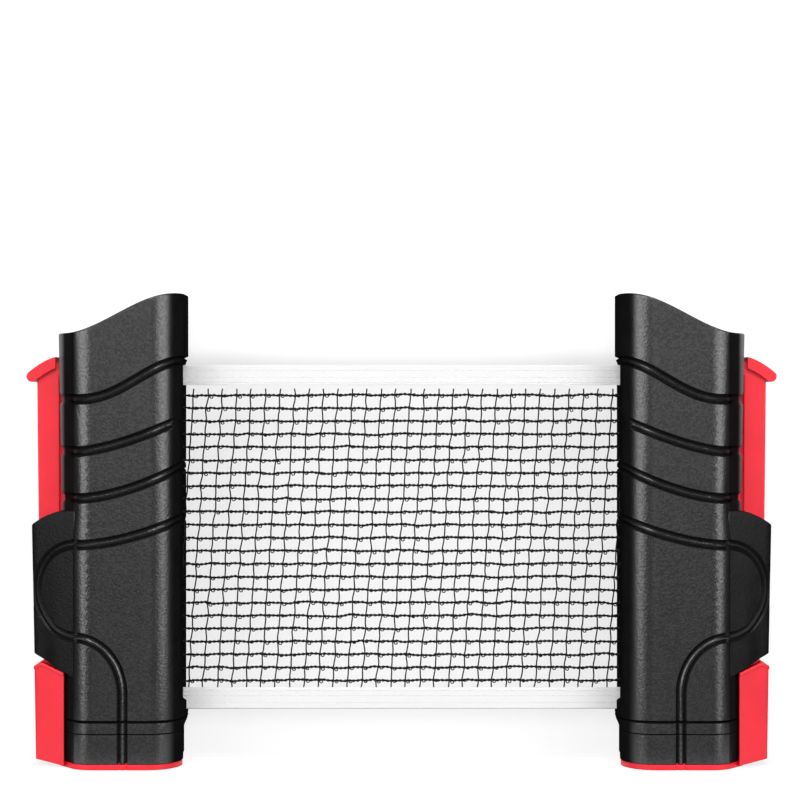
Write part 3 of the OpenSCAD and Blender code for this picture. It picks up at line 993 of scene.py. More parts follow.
def wall_solid(plan, low, high, r_low, r_high, step=4.0, grooves=(), share=1.0):
    """A closed solid between a wall and its mirror image in y.

    low and high give its lower and upper edge over u, and r_low and r_high round them.
    share scales the depth of its grooves."""
    def low_edge(u):
        return low(u) + r_low

    def high_edge(u):
        return high(u) - r_high

    border, inner, top_start = wall_points(plan, low_edge, high_edge, grooves, step)
    flat = np.concatenate([border, inner])
    loop = [(i, (i + 1) % len(border)) for i in range(len(border))]
    verts, _, faces, origin, _, _ = geometry.delaunay_2d_cdt([Vector(p) for p in flat], loop, [], 1, 1e-4)
    place_of = {}
    for index, sources in enumerate(origin):
        for source in sources:
            place_of[source] = index
    points_2d = np.array([(v.x, v.y) for v in verts])
    depth = share * wall_depth(points_2d, grooves) if grooves else np.zeros(len(points_2d))
    u, y, nu, ny = plan.at(points_2d[:, 0])
    points = [np.stack([u - nu * depth, y - ny * depth, points_2d[:, 1]], 1)]
    faces = [tuple(face) for face in faces]

    columns = len(plan.columns)
    rings = {"low": [place_of[i] for i in range(columns)]}
    rings["high"] = [place_of[top_start + columns - 1 - i] for i in range(columns)]
    total = len(points_2d)
    ends = {}
    for key, edge, radius, sign in (("low", low, r_low, -1), ("high", high, r_high, 1)):
        ring = rings[key]
        steps = 5 if radius > 0.6 else 3
        base_depth = depth[ring]
        cu, cy, cnu, cny = plan.at(plan.columns)
        for k in range(1, steps + 1):
            angle = math.pi / 2 * k / steps
            inset = radius * (1 - math.cos(angle)) + base_depth
            ru, ry = cu - cnu * inset, cy - cny * inset
            rz = edge(ru) - sign * radius * (1 - math.sin(angle))
            points.append(np.stack([ru, ry, rz], 1))
            fresh = list(range(total, total + columns))
            total += columns
            for i in range(columns - 1):
                quad = (ring[i], ring[i + 1], fresh[i + 1], fresh[i])
                faces.append(quad if sign > 0 else quad[::-1])
            ring = fresh
        ends[key] = ring
    points = np.concatenate(points)
    mirrored = points * np.array([1, -1, 1])
    count = len(points)
    faces += [tuple(i + count for i in reversed(face)) for face in faces]
    for key, sign in (("low", 1), ("high", -1)):
        ring = ends[key]
        for i in range(columns - 1):
            quad = (ring[i], ring[i + 1], ring[i + 1] + count, ring[i] + count)
            faces.append(quad if sign > 0 else quad[::-1])
    obj = mesh_object("wall", np.concatenate([points, mirrored]), faces)

    def close(bm):
        bmesh.ops.remove_doubles(bm, verts=bm.verts, dist=2e-4)
        bmesh.ops.dissolve_degenerate(bm, edges=bm.edges, dist=1e-5)
        open_edges = [e for e in bm.edges if e.is_boundary]
        if open_edges:
            bmesh.ops.holes_fill(bm, edges=open_edges, sides=0)
        bmesh.ops.recalc_face_normals(bm, faces=bm.faces)
        bmesh.ops.triangulate(bm, faces=[f for f in bm.faces if len(f.verts) > 4])

    return edit(obj, close)


def level(z):
    """An edge that stays at one height."""
    return lambda u: np.full(np.shape(u), z)


def drawn_in(obj, how_far):
    """Draws the inner end of a piece outwards, more at its rear. how_far gives the distance over z."""
    for vert in obj.data.vertices:
        rear = 0.1 * min(max(vert.co.y + 7, 0), 14)
        vert.co.x += how_far(vert.co.z) * (1 + rear) * float(1 - smooth(vert.co.x / 12))
    return obj


def body_plan(inset=0.0):
    """The housing's plan, from the middle of its inner face to the middle of its outer face."""
    r, half = CORNER_R - inset, BODY_D / 2
    flat = half - CORNER_R
    # the outer corner: a wide round, a straight bevel and a small round
    wide, small, turn, bevel = 12.0, 4.0, math.radians(36), 9.49
    across, back = math.cos(turn), math.sin(turn)
    first = (BODY_W - small - (wide - small) * across - bevel * back, wide - half)
    second = (BODY_W - small, first[1] - (wide - small) * back + bevel * across)
    r_wide, r_small = wide - inset, max(small - inset, 0.2)
    plan = Plan([
        ("line", (inset, 0), (inset, -flat), 3),
        ("arc", (CORNER_R, -flat), r, 180, 270, 20),
        ("line", (CORNER_R, inset - half), (first[0], inset - half), 10),
        ("arc", first, r_wide, 270, 324, 16),
        ("line", (first[0] + r_wide * across, first[1] - r_wide * back),
         (second[0] + r_small * across, second[1] - r_small * back), 6),
        ("arc", second, r_small, 324, 360, 8),
        ("line", (second[0] + r_small, second[1]), (second[0] + r_small, 0), 3),
    ])
    return plan.refined(float(plan.along(FOOT_LINE_U)), groove_offsets())


def slab(inset, low, high, r_low=0.1, r_high=0.1, step=12.0):
    """A solid over the housing's plan, between two heights."""
    return wall_solid(body_plan(inset), level(low), level(high), r_low, r_high, step)


def bracket_plan(inset=0.0, start_u=46.0, half=18.1, radius=2.6):
    """Plan of the guide bracket and of the web block: a slanting front, a rounded corner, an outer face."""
    slope = math.radians(25)
    root = (BODY_W - 5, -half)
    line_end_u = BRACKET_U - radius * (1 - math.sin(slope))
    line_end_y = root[1] + (line_end_u - root[0]) * math.tan(slope)
    centre = (line_end_u - radius * math.sin(slope), line_end_y + radius * math.cos(slope))
    start_y = root[1] + (start_u - root[0]) * math.tan(slope)
    shift = (-inset * math.sin(slope), inset * math.cos(slope))
    return Plan([
        ("line", (start_u + shift[0], start_y + shift[1]),
         (line_end_u + shift[0], line_end_y + shift[1]), 12),
        ("arc", centre, radius - inset, math.degrees(slope) - 90, 0, 6),
        ("line", (centre[0] + radius - inset, centre[1]), (centre[0] + radius - inset, 0), 3),
    ])


def bracket_low(u):
    """Lower edge of the guide bracket, which slants up outwards."""
    return BRACKET_LOW + 6.2 * np.clip((u - BODY_W) / (BRACKET_U - BODY_W), -1, 1)


def bracket_high(u):
    """Upper edge of the guide bracket, a flat bow that drops outwards."""
    t = np.clip((u - BODY_W + 5) / (BRACKET_U - BODY_W + 5), 0, 1)
    return BRACKET_HIGH - 6.6 * np.power(t, 1.9)


def bracket_grooves(plan):
    """The loop where it crosses the bracket."""
    _, loop, _ = loop_paths()
    return [(even_steps(on_wall(plan, loop), 0.8), None, None)]


def outer_form():
    """Housing and bracket as one filled solid."""
    sizes = settings().housing
    plan = body_plan()
    body = wall_solid(plan, level(SEAM_Z + SEAM_GAP), head_at, sizes.seam_radius / MM,
                      sizes.edge_radius / MM, grooves=body_grooves(plan))
    for vert in body.data.vertices:
        u, _, z = vert.co
        share = float(smooth((z - LEAN_FROM_Z) / 13) * smooth((u - LEAN_FROM_U) / 12))
        vert.co.x += LEAN * (z - LEAN_Z) * share
    ear_plan = bracket_plan()
    ear = wall_solid(ear_plan, bracket_low, bracket_high, 0.3, 0.5, grooves=bracket_grooves(ear_plan),
                     share=0.5)
    for vert in ear.data.vertices:
        share = float(smooth((vert.co.x - BODY_W) / 9))
        vert.co.x -= BRACKET_LEAN * max(0, BRACKET_HIGH - vert.co.z) * share
    return join(body, ear)


def shell_hollow(half):
    """What a shell's CAD solid leaves empty inside its outer skin. half is -1 in front and +1 behind."""
    room = wall_solid(body_plan(SKIN), level(SEAM_Z - 2.0), lambda u: head_at(u) - SKIN, 0.1, 0.1, 12.0)
    node = "right_front_shell" if half < 0 else "right_rear_shell"
    return cut(room, cad_copy(node, 1))


def channel_tools():
    """Tools for the rail's channel, the net's window and its slot."""
    depth = settings().housing.window_depth / MM
    low, high = NET_Z + 4.7, NET_TOP + 1.9
    window = prism([(-3, low - 1), (0, low - 0.6), (depth, low + 0.4), (depth, high - 0.6),
                    (0, high + 0.6), (-3, high + 0.9)], -BODY_D, BODY_D)
    mouth = block((-3, -1.3, NET_Z - 0.6), (5.6, 1.3, NET_TOP + 0.6))
    channel = block((BODY_W - 4.5, -CHANNEL_HALF, SEAM_Z + 3.5),
                    (RAIL_U + 0.3, CHANNEL_HALF, HOOK_Z + 1))
    return window, mouth, channel


def half_space(half):
    """A block over everything in front of (-1) or behind (+1) the shells' joint."""
    ys = (-60, 0) if half < 0 else (0, 60)
    return block((-20, ys[0], -20), (100, ys[1], 260))


def screw_places():
    """Places (u, z) of the shell screws: the middles of the CAD node's loose parts."""
    obj = cad_copy("right_shell_screws", 1)
    bm = bmesh.new()
    bm.from_mesh(obj.data)
    found, seen = [], set()
    for vert in bm.verts:
        if vert in seen:
            continue
        group, queue = [], [vert]
        seen.add(vert)
        while queue:
            v = queue.pop()
            group.append(tuple(v.co))
            fresh = {edge.other_vert(v) for edge in v.link_edges} - seen
            seen |= fresh
            queue += fresh
        low, high = np.min(group, axis=0), np.max(group, axis=0)
        found.append(((low[0] + high[0]) / 2, (low[2] + high[2]) / 2))
    bm.free()
    remove(obj)
    return found


def make_shells():
    """Front and rear shell, as meshes in a post's own frame."""
    form = outer_form()
    cut(form, *channel_tools())
    shells = []
    for half in (-1, 1):
        shell = twin(form)
        combine(shell, half_space(half), "INTERSECT")
        cut(shell, shell_hollow(half))
        if half > 0:
            for u, z in screw_places():
                cut(shell, cylinder((u, SCREW_SEAT_Y, z), 2.3, 1, 20))
        shells.append(join(shell, combine(spring_ledge(), half_space(half), "INTERSECT")))
    remove(form)
    return shells


def spring_ledge():
    """Ledge that the clamp spring stands on, through the slot into the rail."""
    top = SPRING_LOW[2]
    ledge = block((BODY_W - 8.6, -5, top - 4), (RAIL_U - 2.8, 5, top))
    return cut(ledge, cylinder((SPRING_U, 0, top - 6), 2.0, 2, 9))


def make_base_cap():
    """Black base cap: a wall with a fine line around it, open above, with its rim and its floor."""
    plan = body_plan()
    groove = foot_groove(plan)
    skirt = wall_solid(plan, level(LIP_Z), level(LINE_Z - 0.08), 0.35, 0.2, 3.0, groove)
    band = wall_solid(plan, level(LINE_Z + 0.08), level(SEAM_Z - SEAM_GAP), 0.2,
                      settings().housing.seam_radius / MM, 2.0, groove)
    drawn_in(skirt, lambda z: CAP_BACK)
    drawn_in(band, lambda z: CAP_BACK * float(1 - smooth((z - LINE_Z) / 4)))
    core = slab(SKIN - 0.05, BODY_Z + 0.5, SEAM_Z - 0.5)
    cut(skirt, drawn_in(slab(LIP_T, -1.0, BODY_Z), lambda z: CAP_BACK))
    cap = join(skirt, band, core)
    cut(cap, cut(slab(SKIN, BODY_Z - 1, SEAM_Z + 6), cad_copy("right_base_cap", 1)))
    rim = cad_copy("right_base_cap", 1)
    combine(rim, block((-5, -40, SEAM_Z - 1), (80, 40, SEAM_Z + 10)), "INTERSECT")
    combine(rim, slab(SKIN - 0.1, SEAM_Z - 2, SEAM_Z + 12), "INTERSECT")
    return join(cap, rim)


def pad_block(low, high):
    """A jaw pad over the housing's plan, as far in as its CAD node is."""
    return slab(low[0] - FACE_X, low[2], high[2], 0.3, 0.3, 3.0)


# ---- the red jaw ----


def web_low(u):
    """Slants up outwards, from the plate."""
    return 0.55 + 0.135 * np.clip(u - BODY_W + 5, 0, 20)


def web_high(u):
    """Slants down to the housing, and a little to its outer corner."""
    return WEB_TOP - 0.355 * np.clip(WEB_BEND_U - u, 0, 14) - 0.48 * np.clip(u - WEB_BEND_U, 0, 4)


def web_form(inset=0.0, low=web_low, high=web_high, r_low=0.3, r_high=0.7):
    """The web block beside the housing, its outer face slightly slanting."""
    wall = max(0, inset)
    plan = bracket_plan(inset, WEB_IN_U, WEB_HALF, 1.6 + wall)
    web = wall_solid(plan, lambda u: low(u) + wall, lambda u: high(u) - wall, r_low, r_high)
    for vert in web.data.vertices:
        lean = 1.25 + 0.016 * (WEB_TOP - vert.co.z)
        vert.co.x -= lean * float(np.clip((vert.co.x - WEB_IN_U) / (BRACKET_U - WEB_IN_U), 0, 1))
    return web


def hook_outline():
    """Side view of the thumb hook: a curved band that ends in a bead."""
    thick = settings().jaw.hook_thickness / MM
    bead = thick / 2 - 0.1
    bead_u, bead_z = HOOK_U - bead, HOOK_Z - HOOK_DROP - bead * 0.8
    start_u = BODY_W + 0.4
    reach = bead_u + bead * 0.6 - start_u
    t = np.linspace(0.12, 1, 25)
    top = np.stack([start_u + reach * t, HOOK_Z - HOOK_DROP * t ** 1.6], 1)
    top = top[np.linalg.norm(top - (bead_u, bead_z), axis=1) > bead * 1.05]
    tip = arc_points((bead_u, bead_z), (bead, bead), 52, -125, 22)
    under_reach = RAIL_U + 0.6 - start_u
    t = np.linspace(1, 0.15, 21)
    under = np.stack([start_u + under_reach * t, HOOK_Z - thick - (HOOK_DROP - 1.2) * t ** 1.5], 1)
    return [tuple(p) for p in np.concatenate([top, tip, under])]


def make_jaw():
    """Red jaw slider: base plate, web block, rail and thumb hook in one moulding."""
    jaw = settings().jaw
    radius = jaw.edge_radius / MM
    plan = body_plan()
    plate = wall_solid(plan, level(0.0), level(LIP_Z - 0.2), 0.15, 0.3, 1.5, foot_groove(plan), share=0.4)
    join(plate, slab(LIP_T + 0.25, 0.5, PLATE_T, r_high=0.2, step=3.0))
    drawn_in(plate, lambda z: PLATE_LOW[0] - FACE_X)
    cut(plate, slab(PAD_LOW[0] - FACE_X, PAD_LOW[2], PLATE_T + 1, step=6.0))

    web = web_form()
    join(web, web_form(-0.35, lambda u: web_high(u) - 1.6, web_high, 0.15, 0.5))
    cut(web, slab(-0.4, PLATE_T, 60.0))
    hollow = web_form(WEB_WALL)
    room = block((40, -40, PLATE_T + WEB_WALL), (80, 40, WEB_TOP - WEB_DROP - WEB_WALL))
    combine(hollow, room, "INTERSECT")
    cut(web, hollow)

    top = SPRING_HIGH[2] + 3
    foot_u, foot_z = BODY_W - 4.6, SEAM_Z + 54
    rail_u, step_z = BODY_W + 0.45, 52.0
    rail = rounded(block((rail_u, -RAIL_HALF, step_z), (RAIL_U, RAIL_HALF, top)), radius)
    # the side next to the body stays clear of it as the jaw slides, and the outer side leans fully
    for vert in rail.data.vertices:
        share = float(np.clip((vert.co.x - rail_u) / (RAIL_U - rail_u), 0, 1))
        vert.co.x -= (0.25 + 0.75 * share) * LEAN * float(np.clip(LEAN_Z - vert.co.z, 0, 60))
    low_rail = block((rail_u, 0.02 - RAIL_HALF, 3.6), (RAIL_U - 3, RAIL_HALF - 0.02, step_z + 2))
    neck = block((foot_u, 1.5 - RAIL_HALF, foot_z), (RAIL_U - 1, RAIL_HALF - 1.5, top - 0.3))
    crest = prism([(rail_u, top - 2), (RAIL_U - 0.6, top - 2), (RAIL_U - 0.6, HOOK_Z - 5.2),
                   (60, HOOK_Z - 3.4), (rail_u, HOOK_Z - 2.5)], -RAIL_HALF, RAIL_HALF)
    foot = rounded(block((foot_u, -RAIL_HALF - 2.5, foot_z), (foot_u + 2, RAIL_HALF + 2.5, top - 0.1)), 0.4)
    hook = rounded(prism(hook_outline(), -jaw.hook_half / MM, jaw.hook_half / MM), radius, 50)
    spine = block((foot_u - 1, -SPINE_HALF, step_z + 2), (RAIL_U - 2, SPINE_HALF, SPRING_HIGH[2]))
    low_spine = block((foot_u - 1, -SPINE_HALF, PLATE_T + 3), (RAIL_U - 5, SPINE_HALF, step_z + 3))
    form = join(rail, low_rail, neck, crest, foot, web, plate)
    cut(form, spine, low_spine)
    return join(form, hook)


# ---- springs, roll and screws ----


def tube_along(path, radius, sides):
    """A round tube along points, with flat ends."""
    path = np.array(path, float)
    run = np.gradient(path, axis=0)
    run /= np.linalg.norm(run, axis=1)[:, None]
    up = np.array([0, 0, 1.0]) if abs(run[0][2]) < 0.9 else np.array([1.0, 0, 0])
    points = []
    side = np.cross(run[0], up)
    for p, t in zip(path, run):
        side = side - t * (side @ t)
        side /= np.linalg.norm(side)
        other = np.cross(t, side)
        for k in range(sides):
            a = 2 * math.pi * k / sides
            points.append(p + radius * (math.cos(a) * side + math.sin(a) * other))
    return swept(points, sides)


def around(u, radius, angle, z):
    """Points around an upright axis at u."""
    return np.stack([u + radius * np.cos(angle), radius * np.sin(angle), z], 1)


def helix(centre_u, radius, z0, z1, turns, closed_turns, wire, steps=18):
    """Points of a compression spring: its closed end turns lie on each other."""
    count = int((turns + 2 * closed_turns) * steps)
    angle = np.linspace(0, 2 * math.pi * (turns + 2 * closed_turns), count)
    turn = angle / (2 * math.pi)
    pitch = (z1 - z0 - wire * (1 + 2 * closed_turns)) / turns
    z = z0 + wire / 2 + wire * np.clip(turn, 0, closed_turns)
    z = z + pitch * np.clip(turn - closed_turns, 0, turns)
    z = z + wire * np.clip(turn - closed_turns - turns, 0, None)
    return around(centre_u, radius, angle, z)


def make_clamp_spring():
    wire = 1.0
    radius = (SPRING_HIGH[0] - SPRING_LOW[0] - wire) / 2
    path = helix(SPRING_U, radius, SPRING_LOW[2], SPRING_HIGH[2], 20, 1.5, wire)
    return tube_along(path, wire / 2, 8)


def make_return_spring():
    wire = 1.36
    radius = (COIL_HIGH[0] - COIL_LOW[0] - wire) / 2
    size = COIL_HIGH[2] - COIL_LOW[2]
    path = helix(SPOOL_U, radius, COIL_LOW[2], COIL_HIGH[2], int(size / 1.48) - 2, 1, wire, 14)
    return tube_along(path, wire / 2, 6)


def spiral_sheet(z0, z1, thickness, turns):
    """A closed strip wound on the spool's core."""
    outer = (ROLL_HIGH[0] - ROLL_LOW[0]) / 2 - 0.05
    inner = CORE_RADIUS + 0.06
    angle = np.linspace(0, 2 * math.pi * turns, turns * 40 + 1)
    radius = inner + (outer - inner - thickness) * angle / angle[-1]
    points = []
    for a, r in zip(angle, radius):
        for reach, z in ((0, z0), (thickness, z0), (thickness, z1), (0, z1)):
            points.append((SPOOL_U + (r + reach) * math.cos(a), (r + reach) * math.sin(a), z))
    return swept(points, 4)


def make_roll_tapes():
    """The tapes of the wound net, top and bottom, as one spiral each."""
    low = spiral_sheet(NET_Z, LOW_TAPE_HIGH[2], TAPE_T, ROLL_TURNS)
    high = spiral_sheet(TOP_TAPE_LOW[2], NET_TOP, TAPE_T, ROLL_TURNS)
    return merged([low, high])


def merged(objects):
    """Joins the meshes of objects into the first, without a boolean."""
    bm = bmesh.new()
    for obj in objects:
        bm.from_mesh(obj.data)
    bm.to_mesh(objects[0].data)
    bm.free()
    remove(*objects[1:])
    return objects[0]


def make_roll_netting():
    """The wound netting: its cords on the outer turn over plain inner turns."""
    sizes = settings().net
    z0, z1 = LOW_TAPE_HIGH[2], TOP_TAPE_LOW[2]
    radius = (ROLL_HIGH[0] - ROLL_LOW[0]) / 2 - 0.55
    parts = [spiral_sheet(z0 + 0.3, z1 - 0.3, 0.22, ROLL_TURNS - 2)]
    angle = np.linspace(0, 2 * math.pi, 49)
    for row in range(sizes.rows):
        z = z1 - 4.0 - row * sizes.row_pitch / MM
        ring = around(SPOOL_U, radius, angle, z + 0.2 * np.sin(angle * 5 + row))
        parts.append(tube_along(ring, 0.45, 5))
    columns = int(2 * math.pi * radius / (sizes.column_pitch / MM))
    for column in range(columns):
        angle = 2 * math.pi * (column + np.linspace(0.2, -0.9, 25)) / columns
        cord = around(SPOOL_U, radius, angle, np.linspace(z0 + 0.3, z1 - 0.3, 25))
        parts.append(tube_along(cord, 0.36, 5))
    return merged(parts)


def screw_model():
    """One screw along y, its head's seat at the origin: a threaded shank and a cross-slotted pan head."""
    core, crest, size = 0.82, 1.1, 32.5
    head = turned([(0, 0.0), (2.1, 0.0), (2.2, 0.15), (2.2, 0.9), (2.05, 1.3), (1.6, 1.62),
                   (0.9, 1.76), (0, 1.8)])
    for wide, tall in ((1.35, 0.32), (0.32, 1.35)):
        cut(head, block((-wide, 0.9, -tall), (wide, 2.2, tall)))
    shank = cylinder((0, -size, 0), core, 1, size + 0.3, 16)
    return join(head, shank, thread_ridge(size - 2.5, 1.05, core, crest))


def thread_ridge(length_mm, pitch, core, crest):
    """A closed helical ridge of triangular section around the shank."""
    steps = 12
    count = int(length_mm / pitch * steps)
    points = []
    for i in range(count + 1):
        a = 2 * math.pi * i / steps
        y = -1.2 - i * pitch / steps
        size = min(1.0, i / steps, (count - i) / steps) * (crest - core) + 0.02
        for reach, along in ((-0.1, -0.34), (size, 0.0), (-0.1, 0.34)):
            r = core + reach
            points.append((r * math.cos(a), y + along * pitch, r * math.sin(a)))
    return swept(points, 3)


def turned(profile):
    """A closed turned form around y. profile holds (radius, y) from its lower to its upper pole."""
    sides = 24
    points, faces = [(0, profile[0][1], 0)], []
    rings = profile[1:-1]
    for radius, y in rings:
        for k in range(sides):
            a = 2 * math.pi * k / sides
            points.append((radius * math.cos(a), y, radius * math.sin(a)))
    points.append((0, profile[-1][1], 0))
    for k in range(sides):
        n = (k + 1) % sides
        faces.append((0, 1 + k, 1 + n))
        for r in range(len(rings) - 1):
            base = 1 + r * sides
            faces.append((base + k, base + sides + k, base + sides + n, base + n))
        base = 1 + (len(rings) - 1) * sides
        faces.append((base + k, len(points) - 1, base + n))
    return outwards(mesh_object("turned", np.array(points), faces))


# ---- geometry nodes ----


class Tree(Nodes):
    """A Geometry Nodes tree under construction."""

    def __init__(self, name, inputs):
        """inputs are (name, socket type, value)."""
        super().__init__(bpy.data.node_groups.new(name, "GeometryNodeTree"))
        self.values = {}
        face = self.tree.interface
        face.new_socket("Geometry", in_out="OUTPUT", socket_type="NodeSocketGeometry")
        face.new_socket("Geometry", in_out="INPUT", socket_type="NodeSocketGeometry")
        for label, kind, value in inputs:
            face.new_socket(label, in_out="INPUT", socket_type="NodeSocket" + kind)
            self.values[label] = value
        self.group = self.tree.nodes.new("NodeGroupInput")
        self.end = self.tree.nodes.new("NodeGroupOutput")

    def made(self, kind, values=()):
        """The result of a new geometry node."""
        return self.add("GeometryNode" + kind, None, values).out()

    def input(self, label):
        return Value(self, self.group.outputs[label])

    def vector(self, x, y, z):
        return self.add("ShaderNodeCombineXYZ", None, (x, y, z)).out()

    def position(self):
        return self.made("InputPosition")

    def turn(self, low, high, seed):
        """A random turn for each copy, between two."""
        return self.add("FunctionNodeRandomValue", {"data_type": "FLOAT_VECTOR"},
                        {0: Vector(low), 1: Vector(high), "Seed": seed}).out()

    def circle(self, sides, radius):
        return self.made("CurvePrimitiveCircle", {"Resolution": sides, "Radius": radius})

    def line(self, start, end):
        return self.made("CurvePrimitiveLine", {"Start": Vector(start), "End": Vector(end)})

    def copies(self, points, instance, **more):
        """Copies of an instance on points, as real geometry."""
        values = {"Points": points, "Instance": instance, **more}
        return self.realized(self.made("InstanceOnPoints", values))

    def realized(self, geometry_):
        return self.made("RealizeInstances", (geometry_,))

    def resampled(self, curve, step):
        values = {"Curve": curve, "Length": step}
        return self.add("GeometryNodeResampleCurve", {"mode": "LENGTH"}, values).out()

    def tube(self, curve, section):
        return self.made("CurveToMesh", {"Curve": curve, "Profile Curve": section, "Fill Caps": True})

    def noise(self, vector, size, seed):
        """Noise from -1 to 1, with features about size wide."""
        values = {"Vector": vector, "W": seed, "Scale": 1 / size, "Detail": 1.0}
        raw = self.add("ShaderNodeTexNoise", {"noise_dimensions": "4D"}, values).out(0)
        return raw * 2.0 - 1.0

    def moved(self, geometry_, offset):
        return self.made("SetPosition", {"Geometry": geometry_, "Offset": offset})

    def finish(self, geometry_):
        """Ends the tree in real, smooth geometry with the tree's material."""
        smooth_ = self.made("SetShadeSmooth", {"Geometry": self.realized(geometry_), "Shade Smooth": True})
        done = self.made("SetMaterial", {"Geometry": smooth_, "Material": self.input("Material")})
        self.tree.links.new(done.socket, self.end.inputs[0])
        return self

    def run(self, name, base=None):
        """Applies the tree on base, or on an empty mesh, and gives the finished object."""
        obj = base or mesh_object(name, [], [])
        obj.name = name
        modifier = obj.modifiers.new(name, "NODES")
        modifier.node_group = self.tree
        for item in self.tree.interface.items_tree:
            if item.in_out == "INPUT" and item.name in self.values:
                modifier[item.identifier] = self.values[item.name]
        return apply_modifiers(obj)


def net_span():
    """Height of the netting's open part and of its first and last level cord, in metres."""
    sizes = settings().net
    low, high = LOW_TAPE_HIGH[2] * MM, TOP_TAPE_LOW[2] * MM
    first = high - 4.45 * MM
    return low, high, first, first - (sizes.rows - 1) * sizes.row_pitch


def netting_tree(name, x0, x1, step, sides, material, seed, knotted=True):
    """Netting between x0 and x1: level cords of two plies, leaning upright cords, and their knots."""
    sizes = settings().net
    _, _, first, last = net_span()
    tree = Tree(name, [
        ("Row Pitch", "Float", sizes.row_pitch), ("Column Pitch", "Float", sizes.column_pitch),
        ("Rows", "Int", sizes.rows), ("Lean", "Float", sizes.lean),
        ("Level Radius", "Float", sizes.level_radius), ("Upright Radius", "Float", sizes.upright_radius),
        ("Seed", "Float", float(seed)), ("Material", "Material", material)])
    pitch, row_pitch = tree.input("Column Pitch"), tree.input("Row Pitch")
    seed_value = tree.input("Seed")
    columns = int((x1 - x0 + sizes.lean) / sizes.column_pitch) + 2

    def sway(position):
        """Sideways place of an upright cord at a height, and a shared small disorder."""
        x, _, z = tree.split(position)
        share = (z - (first + last) / 2) * (1 / (first - last))
        zigzag = ((z - last) * (1 / sizes.row_pitch)).math("PINGPONG", 1.0) - 0.5
        odd = (x * (1 / sizes.column_pitch)).math("ROUND").math("PINGPONG", 1.0) * 2.0 - 1.0
        rough = tree.noise(position, 7 * MM, seed_value) * (0.9 * MM)
        return tree.input("Lean") * share + zigzag * odd * (0.5 * MM) + rough

    def droop(position):
        """Level cords rise and fall a little."""
        return tree.noise(position, 9 * MM, seed_value + 7.0) * (1.0 * MM)

    # level cords
    starts = tree.made("MeshLine", {"Count": tree.input("Rows"), "Start Location": Vector((0, 0, first)),
                                    "Offset": tree.vector(0.0, 0.0, row_pitch * -1.0)})
    rows = tree.resampled(tree.copies(starts, tree.line((x0, 0, 0), (x1, 0, 0))), step)
    place_ = tree.position()
    ripple = tree.noise(place_, 1.9 * MM, seed_value + 3.0) * (0.38 * MM)
    rows = tree.moved(rows, tree.vector(0.0, ripple * 0.6, droop(place_) + ripple))
    along = tree.add("GeometryNodeSplineParameter").out("Length")
    rows = tree.made("SetCurveTilt", {"Curve": rows, "Tilt": along * (math.pi / (1.9 * MM))})
    section = tree.made("Transform", {"Geometry": tree.circle(sides, tree.input("Level Radius")),
                                      "Scale": Vector((1.9, 1.15, 1))})
    rows = tree.tube(rows, section)

    # upright cords
    start_x = x0 - 0.25 * sizes.lean
    feet = tree.made("MeshLine", {"Count": columns, "Start Location": Vector((start_x, 0, 0)),
                                  "Offset": tree.vector(pitch, 0.0, 0.0)})
    post = tree.line((0, 0, first + 2.9 * MM), (0, 0, last - 3.6 * MM))
    posts = tree.resampled(tree.copies(feet, post), row_pitch * (1 / 3 if knotted else 1.0))
    posts = tree.moved(posts, tree.vector(sway(tree.position()), 0.0, 0.0))
    posts = tree.tube(posts, tree.circle(6 if knotted else 3, tree.input("Upright Radius")))

    # knots
    grid = tree.made("MeshGrid", {"Size X": pitch * float(columns - 1),
                                  "Size Y": row_pitch * float(sizes.rows - 1),
                                  "Vertices X": columns, "Vertices Y": tree.input("Rows")})
    middle = start_x + sizes.column_pitch * (columns - 1) / 2
    grid = tree.made("Transform", {"Geometry": grid, "Translation": Vector((middle, 0, (first + last) / 2)),
                                   "Rotation": Vector((math.pi / 2, 0, 0))})
    place_ = tree.position()
    grid = tree.moved(grid, tree.vector(sway(place_), 0.0, droop(place_)))
    knot = tree.made("MeshUVSphere", {"Segments": 6, "Rings": 4, "Radius": KNOT_RADIUS * MM})
    # each knot leaves a small open loop beside its crossing
    loop = tree.made("CurveToMesh", {"Curve": tree.circle(7, KNOT_LOOP_RADIUS * MM),
                                     "Profile Curve": tree.circle(4, KNOT_STRAND_RADIUS * MM)})
    loop = tree.made("Transform", {"Geometry": loop, "Translation": Vector((1.2 * MM, -0.3 * MM, -0.5 * MM)),
                                   "Rotation": Vector((math.pi / 2, 0, 0))})
    knot = tree.made("JoinGeometry", {"Geometry": [knot, loop]})
    knots = tree.copies(grid, knot, Rotation=tree.turn((-0.2, -0.25, -0.2), (0.2, 0.2, 0.2), seed),
                        Scale=Vector((1.15, 0.95, 1.0)))

    # what lies past the ends goes
    parts = [rows, posts, knots] if knotted else [rows, posts]
    whole = tree.made("JoinGeometry", {"Geometry": parts})
    x, _, _ = tree.split(tree.position())
    inside = tree.add("ShaderNodeClamp", None, (x, x0 + 0.4 * MM, x1 - 0.4 * MM)).out()
    return tree.finish(tree.moved(whole, tree.vector(inside - x, 0.0, 0.0)))


